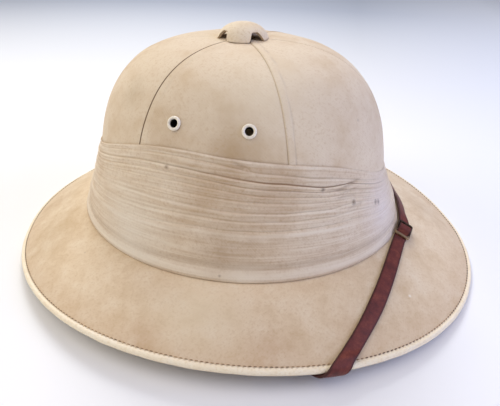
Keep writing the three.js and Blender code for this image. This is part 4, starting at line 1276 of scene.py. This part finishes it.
def cap_mesh(shape):
    """The cap's cloth-covered wall, with its air gaps and its rounded edge, darkened inside, on its edge and
    at its foot by painted shade.
    """
    angles = around(CAP_COLUMNS)[:, None]
    parts = np.linspace(0, CAP_EDGE, CAP_ROWS)
    edge_parts = CAP_EDGE + (1 - CAP_EDGE) * np.sin(math.pi * CAP_EDGE_ROWS)
    outside = cap_point(shape, angles, parts, 0)
    edge = cap_point(shape, angles, edge_parts, CAP_WALL * CAP_EDGE_ROWS)
    inside = cap_point(shape, angles, parts[::-1], CAP_WALL)
    sections = np.concatenate([outside, edge, inside], 1)
    rows = np.arange(sections.shape[1] + 1) * CAP_ROW
    uv = grid(around(CAP_COLUMNS, repeated=1)[:, None] * CAP_MEAN_RADIUS, rows)
    foot = CAP_SHADE[0] * smoothstep(parts, CAP_SHADE_START, CAP_EDGE)
    darkening = np.concatenate([foot, np.full_like(edge_parts, CAP_SHADE[1]), np.full_like(parts, CAP_SHADE[2])])
    return tidy_mesh(sweep_mesh("cap_cloth", sections, uv=uv, crease=darkening), sharp=60)


def stem_mesh(top):
    """The plain stem that carries the cap, from inside its top down through the shell, darkened all over by
    painted shade.
    """
    low, bevel = top - STEM_LENGTH, STEM_BEVEL
    outline = [
        [0, top], [STEM_RADIUS, top], [STEM_RADIUS, low + bevel], [STEM_RADIUS - bevel, low], [0, low],
    ]
    stem = lathe_mesh("stem", outline, STEM_SIDES, crease=STEM_SHADE)
    stem.transform(Matrix.Translation((DOME_X, 0, 0)))
    return stem


class PITH_OT_ventilator(bpy.types.Operator):
    """Makes the lobed ventilator cap on top of the dome"""

    bl_idname = "pith_helmet.ventilator"
    bl_label = "Ventilator Cap"

    def execute(self, context):
        shape, colours = settings(context)
        top = shape.dome_base + shape.dome_height + CAP_HEIGHT - CAP_WALL / 2
        mesh = join_meshes("cap", [cap_mesh(shape), stem_mesh(top)])
        marks = [Mark((DOME_X, -12 * MM, top + 1 * MM), 7 * MM, 0.15, "#b39670")]
        cloth = drill_cloth(colours)._replace(base=colours.drill_pale)
        material = cloth_material("cap_drill", cloth, marks=marks)
        add_piece("cap_piece", mesh, material, "helmet_cloth", "ventilator_cap")
        return {"FINISHED"}


# Chin strap and slide

STRAP_FRONT = 0.086  # share of the brim's width at which its middle runs beside the band
STRAP_FRONT_ANGLE = math.radians(14.5)
STRAP_RIM_ANGLE = math.radians(62.5)
STRAP_CURVE = 1.95
STRAP_TUCK = 0.075  # share by which it comes in at the very front
STRAP_TILT = math.radians(32)  # lean onto the band there
STRAP_LEAN = {  # angles between which it stops leaning, right and left of the front
    -1: (0, math.radians(9)),
    1: (math.radians(12), math.radians(34)),
}
STRAP_OPEN_ANGLE = math.radians(55)
STRAP_SLANT = math.radians(50)
STRAP_END_ANGLE = math.radians(101)
STRAP_END = -0.2
STRAP_UNDER_GAP = 0.6 * MM
STRAP_TURN = (8 * MM, 28 * MM)  # from the rim, between which it turns square to its own run
STRAP_CORNER = 0.5 * MM
STRAP_CROWN = 0.08 * MM  # rise of its upper face
STRAP_ROWS = np.array([0.75, 0.5, 0.2, -0.2, -0.5, -0.75])  # shares across that face
STRAP_ROW = 0.8 * MM  # mean width of a row of its outline, laid flat
BED_RADIUS = 2.5 * MM  # of the edging that it bends round
BED_LEG = 1.8 * MM
STRAP_CLIMB = (BED_LEG + 0.6 * MM, BED_LEG + 5 * MM)  # from the rim, where it climbs onto the edging
NOSE_RADIUS = BED_RADIUS + GAP
NOSE_LENGTH = math.pi * NOSE_RADIUS

SLIDE_SIDE = -1
SLIDE_ANGLE = math.radians(13.4)
SLIDE_WIDTH = 11 * MM
SLIDE_THICKNESS = 1.6 * MM
SLIDE_END_BAR = 2 * MM
SLIDE_SLOT = 5 * MM
SLIDE_MIDDLE_BAR = 2.4 * MM
SLIDE_SLOT_WIDTH = 9.4 * MM
SLIDE_STRAP_CLEAR = 0.4 * MM
SLIDE_STRAP_RUN = 3 * MM
SLIDE_LIFT = 0.3 * MM
SLIDE_BEVEL = 0.45 * MM
SLIDE_CORNER = 1.6 * MM
SLIDE_SLOT_CORNER = 0.8 * MM
SLIDE_BRIGHT_END = (4 * MM, 7.5 * MM)  # along it from its middle, between which its bright end sets in: worn metal, and a painted highlight along that end bar
SLIDE_BRIGHT_END_STRENGTH = 0.9


def strap_bed(shape, angle, distance):
    """Point under the strap and the direction away from its bed, at an angle round the helmet and a
    distance over the brim: below zero on top of it, inwards from the rim, then round the edging, then
    inwards again underneath."""
    if 0 <= distance <= NOSE_LENGTH:
        along, normal = brim_frame(shape, angle, 1.0)
        lean = math.pi / 2 - distance / NOSE_RADIUS
        outward = along * math.cos(lean) + normal * math.sin(lean)
        return rim_place(shape, angle, 0.0, 0.0) + outward * NOSE_RADIUS, outward
    below = distance > 0
    inwards = distance - NOSE_LENGTH if below else -distance
    part = 1 - inwards / brim_width(shape, angle)
    along, normal = brim_frame(shape, angle, part)
    outward = -normal if below else normal
    surface = brim_bottom(shape, angle, part) if below else brim_top(shape, angle, part)
    on_edging = BED_RADIUS - BRIM_RIM_THICKNESS / 2 + GAP
    on_brim = STRAP_UNDER_GAP if below else GAP
    lift = between(on_edging, on_brim, smoothstep(inwards, *STRAP_CLIMB))
    nose = np.clip(1 - inwards / BED_LEG, 0, 1)
    return surface + outward * lift + along * GAP * nose, outward


def strap_lean(angle, side):
    """1 at the front, where the strap leans onto the band, and 0 once it lies on the brim."""
    return float(1 - smoothstep(angle, *STRAP_LEAN[side]))


def strap_distance(shape, angle, side):
    """Distance of the strap's middle on top of the brim, curving out from the front to the rim."""
    turned = max(0.0, angle - STRAP_FRONT_ANGLE) / (STRAP_RIM_ANGLE - STRAP_FRONT_ANGLE)
    part = between(STRAP_FRONT, 1, turned**STRAP_CURVE) - STRAP_TUCK * strap_lean(angle, side)
    return (part - 1) * float(brim_width(shape, angle))


def along_rim(shape, angle, distance):
    """Metres along the strap's bed for each radian round the helmet."""
    step = 1e-3
    before = strap_bed(shape, angle - step, distance)[0]
    after = strap_bed(shape, angle + step, distance)[0]
    return float(np.linalg.norm(after - before)) / (2 * step)


def strap_over(shape, distance):
    """Angle of the strap's middle as it goes over the rim."""
    return STRAP_RIM_ANGLE + math.tan(STRAP_SLANT) / along_rim(shape, STRAP_RIM_ANGLE, 0.0) * distance


def strap_under_length(shape):
    """Length of the strap's stretch under the brim, measured across it."""
    return (1 - STRAP_END) * float(brim_width(shape, STRAP_END_ANGLE))


def strap_under(shape, inwards):
    """Place of the strap's middle under the brim."""
    part = inwards / strap_under_length(shape)
    return between(strap_over(shape, NOSE_LENGTH), STRAP_END_ANGLE, part), NOSE_LENGTH + inwards


def strap_route(shape, side):
    """Places of half the strap's middle line, from the front to its end under the brim."""
    places = [(angle, strap_distance(shape, angle, side)) for angle in np.linspace(0, STRAP_OPEN_ANGLE, 56)]
    width = float(brim_width(shape, STRAP_RIM_ANGLE))
    for inwards in np.linspace(STRAP_CLIMB[1], 0, 10):
        turned = (1 - inwards / width - STRAP_FRONT) / (1 - STRAP_FRONT)
        places.append((between(STRAP_FRONT_ANGLE, STRAP_RIM_ANGLE, turned ** (1 / STRAP_CURVE)), -inwards))
    places += [(strap_over(shape, distance), distance) for distance in np.linspace(0, NOSE_LENGTH, 15)[1:]]
    near_rim = np.linspace(0.8 * MM, STRAP_CLIMB[1], 8)
    further = np.linspace(STRAP_CLIMB[1], strap_under_length(shape), 30)[1:]
    return places + [strap_under(shape, inwards) for inwards in (*near_rim, *further)]


def strap_half(shape, route, index):
    """Half the strap's width as an angle and a distance: square to it, but along the rim as it goes over."""
    before, after = route[max(0, index - 1)], route[min(len(route) - 1, index + 1)]
    angle, distance = route[index]
    scale = along_rim(shape, angle, distance)
    run = np.array([(after[0] - before[0]) * scale, after[1] - before[1]])
    square = np.array([run[1], -run[0]]) / np.hypot(*run)
    slanted = np.array([1 / math.cos(STRAP_SLANT), 0])
    from_rim = -distance if distance < 0 else max(0, distance - NOSE_LENGTH)
    near = 1 - smoothstep(from_rim, *STRAP_TURN)
    half = between(square, slanted, near) * shape.strap_width / 2
    return half[0] / scale, half[1]


def strap_frame(shape, place, half, side):
    """Middle of the strap's underside, and half its width and its upward direction as vectors."""
    angle, distance = place
    outer, outward = strap_bed(shape, side * (angle - half[0]), distance - half[1])
    inner = strap_bed(shape, side * (angle + half[0]), distance + half[1])[0]
    middle, up = strap_bed(shape, side * angle, distance)
    lean = STRAP_TILT * strap_lean(angle, side) if distance < 0 else 0.0
    axis = Vector(np.cross(inner - outer, outward)).normalized()
    turned = Matrix.Rotation(lean, 3, axis)
    middle = Vector(outer) + turned @ Vector(middle - outer)
    return middle, turned @ Vector(inner - outer) / 2, turned @ Vector(up)


def slide_place(shape, along):
    """Place on the strap's middle line, a distance along it from the slide."""
    scale = along_rim(shape, SLIDE_ANGLE, strap_distance(shape, SLIDE_ANGLE, SLIDE_SIDE))
    angle = SLIDE_ANGLE + along / scale
    return angle, strap_distance(shape, angle, SLIDE_SIDE)


def slide_frame(shape):
    """Matrix of the slide: along the strap, outwards over the brim, and up from the strap's underside."""
    route = [slide_place(shape, along * MM) for along in (-1, 0, 1)]
    half = strap_half(shape, route, 1)
    before, middle, after = (strap_frame(shape, place, half, SLIDE_SIDE) for place in route)
    up = middle[2].normalized()
    along = after[0] - before[0]
    along = (along - up * along.dot(up)).normalized()
    turned = Matrix((along, up.cross(along), up)).transposed().to_4x4()
    return Matrix.Translation(middle[0] + up * SLIDE_LIFT) @ turned


def quarter_arc(x, y, radius, start, count):
    """Points of a quarter circle round a middle, from a start in degrees."""
    leans = np.radians(np.linspace(start, start + 90, count))
    return grid(x + radius * np.cos(leans), y + radius * np.sin(leans))


def strap_outline(shape):
    """Rounded outline of the strap: share across it, and height."""
    half = shape.strap_width / 2
    side, low, high = half - STRAP_CORNER, STRAP_CORNER, shape.strap_thickness - STRAP_CORNER
    outline = [
        quarter_arc(side, low, STRAP_CORNER, -90, 5),
        quarter_arc(side, high, STRAP_CORNER, 0, 5),
        grid(STRAP_ROWS * half, shape.strap_thickness + STRAP_CROWN * (1 - STRAP_ROWS**2)),
        quarter_arc(-side, high, STRAP_CORNER, 90, 5),
        quarter_arc(-side, low, STRAP_CORNER, 180, 5),
        grid(-STRAP_ROWS * half, 0.0),
    ]
    return np.concatenate(outline) / [half, 1]


def strap_sections(shape, outline):
    """Loops along the whole strap, from its right end round the front to its left end."""
    high = SLIDE_MIDDLE_BAR / 2 + SLIDE_STRAP_CLEAR
    low = SLIDE_MIDDLE_BAR / 2 + SLIDE_SLOT - SLIDE_STRAP_CLEAR
    straight = low + SLIDE_STRAP_RUN
    rise = 2 * GAP + shape.strap_thickness + SLIDE_THICKNESS

    def loop(middle, across, up):
        """The outline as points, from half the strap's width and its upward direction."""
        return np.array(middle) + outline[:, :1] * np.array(across) + outline[:, 1:] * np.array(up)

    def half_strap(side):
        """Angle and loop of each place from the front to one end."""
        route = strap_route(shape, side)
        return [
            (place[0], loop(*strap_frame(shape, place, strap_half(shape, route, i), side)))
            for i, place in enumerate(route)
        ]

    seat = slide_frame(shape)
    across = seat.to_3x3() @ Vector((0, -shape.strap_width / 2, 0))
    up = seat.to_3x3() @ Vector((0, 0, 1))
    threaded = []
    for along in np.linspace(-straight, straight, 41):
        lift = rise * float(1 - smoothstep(abs(along), high, low))
        threaded.append(loop(seat @ Vector((along, 0, lift)), across, up))
    first, last = slide_place(shape, -straight)[0], slide_place(shape, straight)[0]
    right = half_strap(SLIDE_SIDE)
    front = [points for angle, points in right if angle < first]
    rest = [points for angle, points in right if angle > last]
    left = [points for _, points in half_strap(-SLIDE_SIDE)][1:]
    return np.array((front + threaded + rest)[::-1] + left)


def strap_mesh(shape):
    """The whole strap, with how near its edges each row lies."""
    outline = strap_outline(shape)
    sections = strap_sections(shape, outline)
    edge = sections[:, 0]
    run = np.cumsum(np.linalg.norm(np.diff(edge, axis=0, prepend=edge[:1]), axis=-1))
    uv = grid(run[:, None], np.arange(len(outline) + 1) * STRAP_ROW)
    mesh = sweep_mesh("strap_leather", sections, closed=False, uv=uv, edge=np.abs(outline[:, 0]))
    return tidy_mesh(mesh, sharp=50)


class PITH_OT_strap(bpy.types.Operator):
    """Makes the leather chin strap, laid over the brim and round the front"""

    bl_idname = "pith_helmet.strap"
    bl_label = "Chin Strap"

    def execute(self, context):
        shape, colours = settings(context)
        add_piece("strap_piece", strap_mesh(shape), leather_material(colours), "strap_leather", "chin_strap")
        return {"FINISHED"}


def rounded_box(curve, middle, length, width, corner):
    """Adds a rounded box to a flat curve, as a closed polygon."""
    x, y = length / 2 - corner, width / 2 - corner
    corners = ((x, -y, -90), (x, y, 0), (-x, y, 90), (-x, -y, 180))
    outline = np.concatenate([quarter_arc(middle + x, y, corner, start, 6) for x, y, start in corners])
    spline = curve.splines.new("POLY")
    spline.points.add(len(outline) - 1)
    spline.points.foreach_set("co", grid(*outline.T, 0, 1).reshape(-1))
    spline.use_cyclic_u = True


def slide_mesh(shape):
    """The three-bar slide, stamped with two slots for the strap and rounded along its edges."""
    curve = bpy.data.curves.new("slide", "CURVE")
    curve.dimensions = "2D"
    curve.fill_mode = "BOTH"
    curve.extrude = SLIDE_THICKNESS / 2 - SLIDE_BEVEL
    curve.bevel_depth = SLIDE_BEVEL
    curve.bevel_resolution = 3
    length = 2 * SLIDE_END_BAR + 2 * SLIDE_SLOT + SLIDE_MIDDLE_BAR
    rounded_box(curve, 0, length - 2 * SLIDE_BEVEL, SLIDE_WIDTH - 2 * SLIDE_BEVEL, SLIDE_CORNER)
    slot_middle = (SLIDE_MIDDLE_BAR + SLIDE_SLOT) / 2
    slot_length, slot_width = SLIDE_SLOT + 2 * SLIDE_BEVEL, SLIDE_SLOT_WIDTH + SLIDE_BEVEL
    for middle in (-slot_middle, slot_middle):
        rounded_box(curve, middle, slot_length, slot_width, SLIDE_SLOT_CORNER)
    mesh = evaluated_mesh("slide_curve", curve)
    # bright end bar: worn metal, and painted highlight
    rubbed = [SLIDE_BRIGHT_END_STRENGTH * float(smoothstep(vertex.co.x, *SLIDE_BRIGHT_END)) for vertex in mesh.vertices]
    mesh.attributes.new("rubbed", "FLOAT", "POINT").data.foreach_set("value", rubbed)
    up = GAP + shape.strap_thickness + SLIDE_THICKNESS / 2
    mesh.transform(slide_frame(shape) @ Matrix.Translation((0, 0, up)))
    return tidy_mesh(mesh, sharp=35)


class PITH_OT_slide(bpy.types.Operator):
    """Makes the metal slide on the strap"""

    bl_idname = "pith_helmet.slide"
    bl_label = "Slide"

    def execute(self, context):
        shape, colours = settings(context)
        material = metal_material("tarnished_brass", colours.slide, colours.slide_worn_and_highlight, wear=0.2)
        add_piece("slide_piece", slide_mesh(shape), material, "slide_metal", "strap_slide")
        return {"FINISHED"}


# Rivets

RIVETS = {"strap_rivet_right": -1, "strap_rivet_left": 1}  # sides of the helmet
RIVET_FROM_END = 7 * MM
RIVET_SIDES = 40
RIVET_OUTLINE = (  # radius and height above the strap's underside, in millimetres
    (0, 3.1), (0.8, 3.08), (1.7, 2.98), (2.6, 2.78), (3.3, 2.5), (3.8, 2.2), (4.0, 1.95),
    (3.9, 1.9), (1.8, 1.9), (1.8, -2.7), (0, -2.7),
)


class PITH_OT_rivets(bpy.types.Operator):
    """Makes the two rivets that hold the strap's ends"""

    bl_idname = "pith_helmet.rivets"
    bl_label = "Rivets"

    def execute(self, context):
        shape = settings(context)[0]
        material = metal_material("dull_brass", linear("#5d4828"), linear("#a98a4f"), wear=0.6)
        angle, distance = strap_under(shape, strap_under_length(shape) - RIVET_FROM_END)
        for node, side in RIVETS.items():
            mesh = lathe_mesh("rivet", np.array(RIVET_OUTLINE) * MM, RIVET_SIDES)
            mesh = stand(mesh, *strap_bed(shape, side * angle, distance))
            add_piece(f"{node}_piece", mesh, material, "rivet_metal", node)
        return {"FINISHED"}


# Stage

Lamp = namedtuple("Lamp", "name place size power colour")
LAMPS = (
    Lamp("window_behind", (-0.35, 0.85, 1.05), 0.6, 10.0, "#ffffff"),
    Lamp("window_above", (-0.25, -0.45, 1.25), 1.2, 6.4, "#fff4e8"),
    Lamp("window_left", (-1.0, -0.3, 0.6), 0.8, 3.4, "#fffaf2"),
    Lamp("window_right", (1.0, -0.1, 0.55), 0.8, 6.6, "#c6cfff"),
)
LAMP_AIM = Vector((0, 0, 0.05))
FLOOR_REACH = 4.0
FLOOR_DROP = 0.2 * MM
SENSOR_WIDTH = 36


def floor_material():
    """Matt white board, pale, with painted shade that makes it a little greyer far off on the left, and
    painted cool light that makes it bluer in front.
    """
    finish = {"Roughness": 0.8, "Specular IOR Level": 0.2}
    material, tree, shader, place = new_material("white_board", finish)
    apart = add_node(tree, "ShaderNodeSeparateXYZ", {0: place.outputs["Object"]})
    layers = (
        Layer(apart.outputs["Y"], 0.2, 1.0, 0, 1, linear("#bfc5d3")),
        Layer(apart.outputs["X"], 0.1, 0.45, 0, 1, linear("#eff3ff")),
    )
    lay_colours(tree, shader, linear("#fbfbfb"), layers)
    return material


def add_floor(scene):
    """A wide plain floor just under the helmet."""
    corners = [(x * FLOOR_REACH, y * FLOOR_REACH, 0) for x, y in ((-1, -1), (1, -1), (1, 1), (-1, 1))]
    mesh = bpy.data.meshes.new("floor")
    mesh.from_pydata(corners, [], [(0, 1, 2, 3)])
    mesh.materials.append(floor_material())
    floor = bpy.data.objects.new("floor", mesh)
    floor.location.z = -FLOOR_DROP
    scene.collection.objects.link(floor)


def add_lamps(scene):
    """Soft windows round the helmet."""
    for lamp in LAMPS:
        light = bpy.data.lights.new(lamp.name, "AREA")
        light.size = lamp.size
        light.energy = lamp.power
        light.color = linear(lamp.colour)
        holder = bpy.data.objects.new(lamp.name, light)
        holder.location = lamp.place
        holder.rotation_euler = (Vector(lamp.place) - LAMP_AIM).to_track_quat("Z", "Y").to_euler()
        scene.collection.objects.link(holder)


def add_sky(scene, strength):
    """Even light from all round."""
    world = bpy.data.worlds.new("studio")
    world.use_nodes = True
    background = world.node_tree.nodes["Background"]
    background.inputs["Color"].default_value = opaque(linear("#eef2fb"))
    background.inputs["Strength"].default_value = strength
    scene.world = world


def add_camera(scene, stage):
    """The camera, turned round its aim from the helmet's right side."""
    camera = bpy.data.cameras.new("camera")
    camera.lens = stage.lens
    camera.sensor_width = SENSOR_WIDTH
    camera.sensor_fit = "HORIZONTAL"
    camera.clip_start = 0.01
    view = Matrix.Rotation(stage.azimuth, 4, "Z") @ Matrix.Rotation(math.pi / 2 - stage.elevation, 4, "X")
    place = Vector(stage.aim) + view @ Vector((0, 0, stage.distance))
    holder = bpy.data.objects.new("camera", camera)
    holder.matrix_world = Matrix.Translation(place) @ view @ Matrix.Rotation(stage.roll, 4, "Z")
    scene.collection.objects.link(holder)
    scene.camera = holder


class PITH_OT_stage(bpy.types.Operator):
    """Makes the floor, the lights and the camera"""

    bl_idname = "pith_helmet.stage"
    bl_label = "Stage"

    def execute(self, context):
        scene, stage = context.scene, context.scene.helmet_stage
        add_floor(scene)
        add_lamps(scene)
        add_sky(scene, stage.sky)
        add_camera(scene, stage)
        scene.view_settings.view_transform = "Standard"
        return {"FINISHED"}


# Add-on


class PITH_PT_sidebar(bpy.types.Panel):
    """Lists the pieces of the helmet"""

    bl_idname = "PITH_PT_sidebar"
    bl_label = "Pith Helmet"
    bl_space_type = "VIEW_3D"
    bl_region_type = "UI"
    bl_category = "Helmet"

    def draw(self, context):
        for operator in OPERATORS:
            self.layout.operator(operator.bl_idname)


OPERATORS = (
    PITH_OT_shell,
    PITH_OT_panels,
    PITH_OT_brim,
    PITH_OT_binding,
    PITH_OT_stitches,
    PITH_OT_puggaree,
    PITH_OT_ventilator,
    PITH_OT_eyelets,
    PITH_OT_strap,
    PITH_OT_slide,
    PITH_OT_rivets,
    PITH_OT_stage,
)
GROUPS = {"helmet_shape": HelmetShape, "helmet_colours": HelmetColours, "helmet_stage": HelmetStage}


def register():
    """Adds the settings, operators and panel."""
    for group in (*GROUPS.values(), *OPERATORS, PITH_PT_sidebar):
        bpy.utils.register_class(group)
    for name, group in GROUPS.items():
        setattr(bpy.types.Scene, name, bpy.props.PointerProperty(type=group))


def unregister():
    """Takes them away again."""
    for name in GROUPS:
        delattr(bpy.types.Scene, name)
    for group in (PITH_PT_sidebar, *reversed(OPERATORS), *reversed(GROUPS.values())):
        bpy.utils.unregister_class(group)


def main():
    """Builds the helmet and its stage."""
    register()
    bpy.ops.pith_helmet.shell()
    bpy.ops.pith_helmet.panels()
    bpy.ops.pith_helmet.brim()
    bpy.ops.pith_helmet.binding()
    bpy.ops.pith_helmet.stitches()
    bpy.ops.pith_helmet.puggaree()
    bpy.ops.pith_helmet.ventilator()
    bpy.ops.pith_helmet.eyelets()
    bpy.ops.pith_helmet.strap()
    bpy.ops.pith_helmet.slide()
    bpy.ops.pith_helmet.rivets()
    bpy.ops.pith_helmet.stage()


if __name__ == "__main__":
    main()
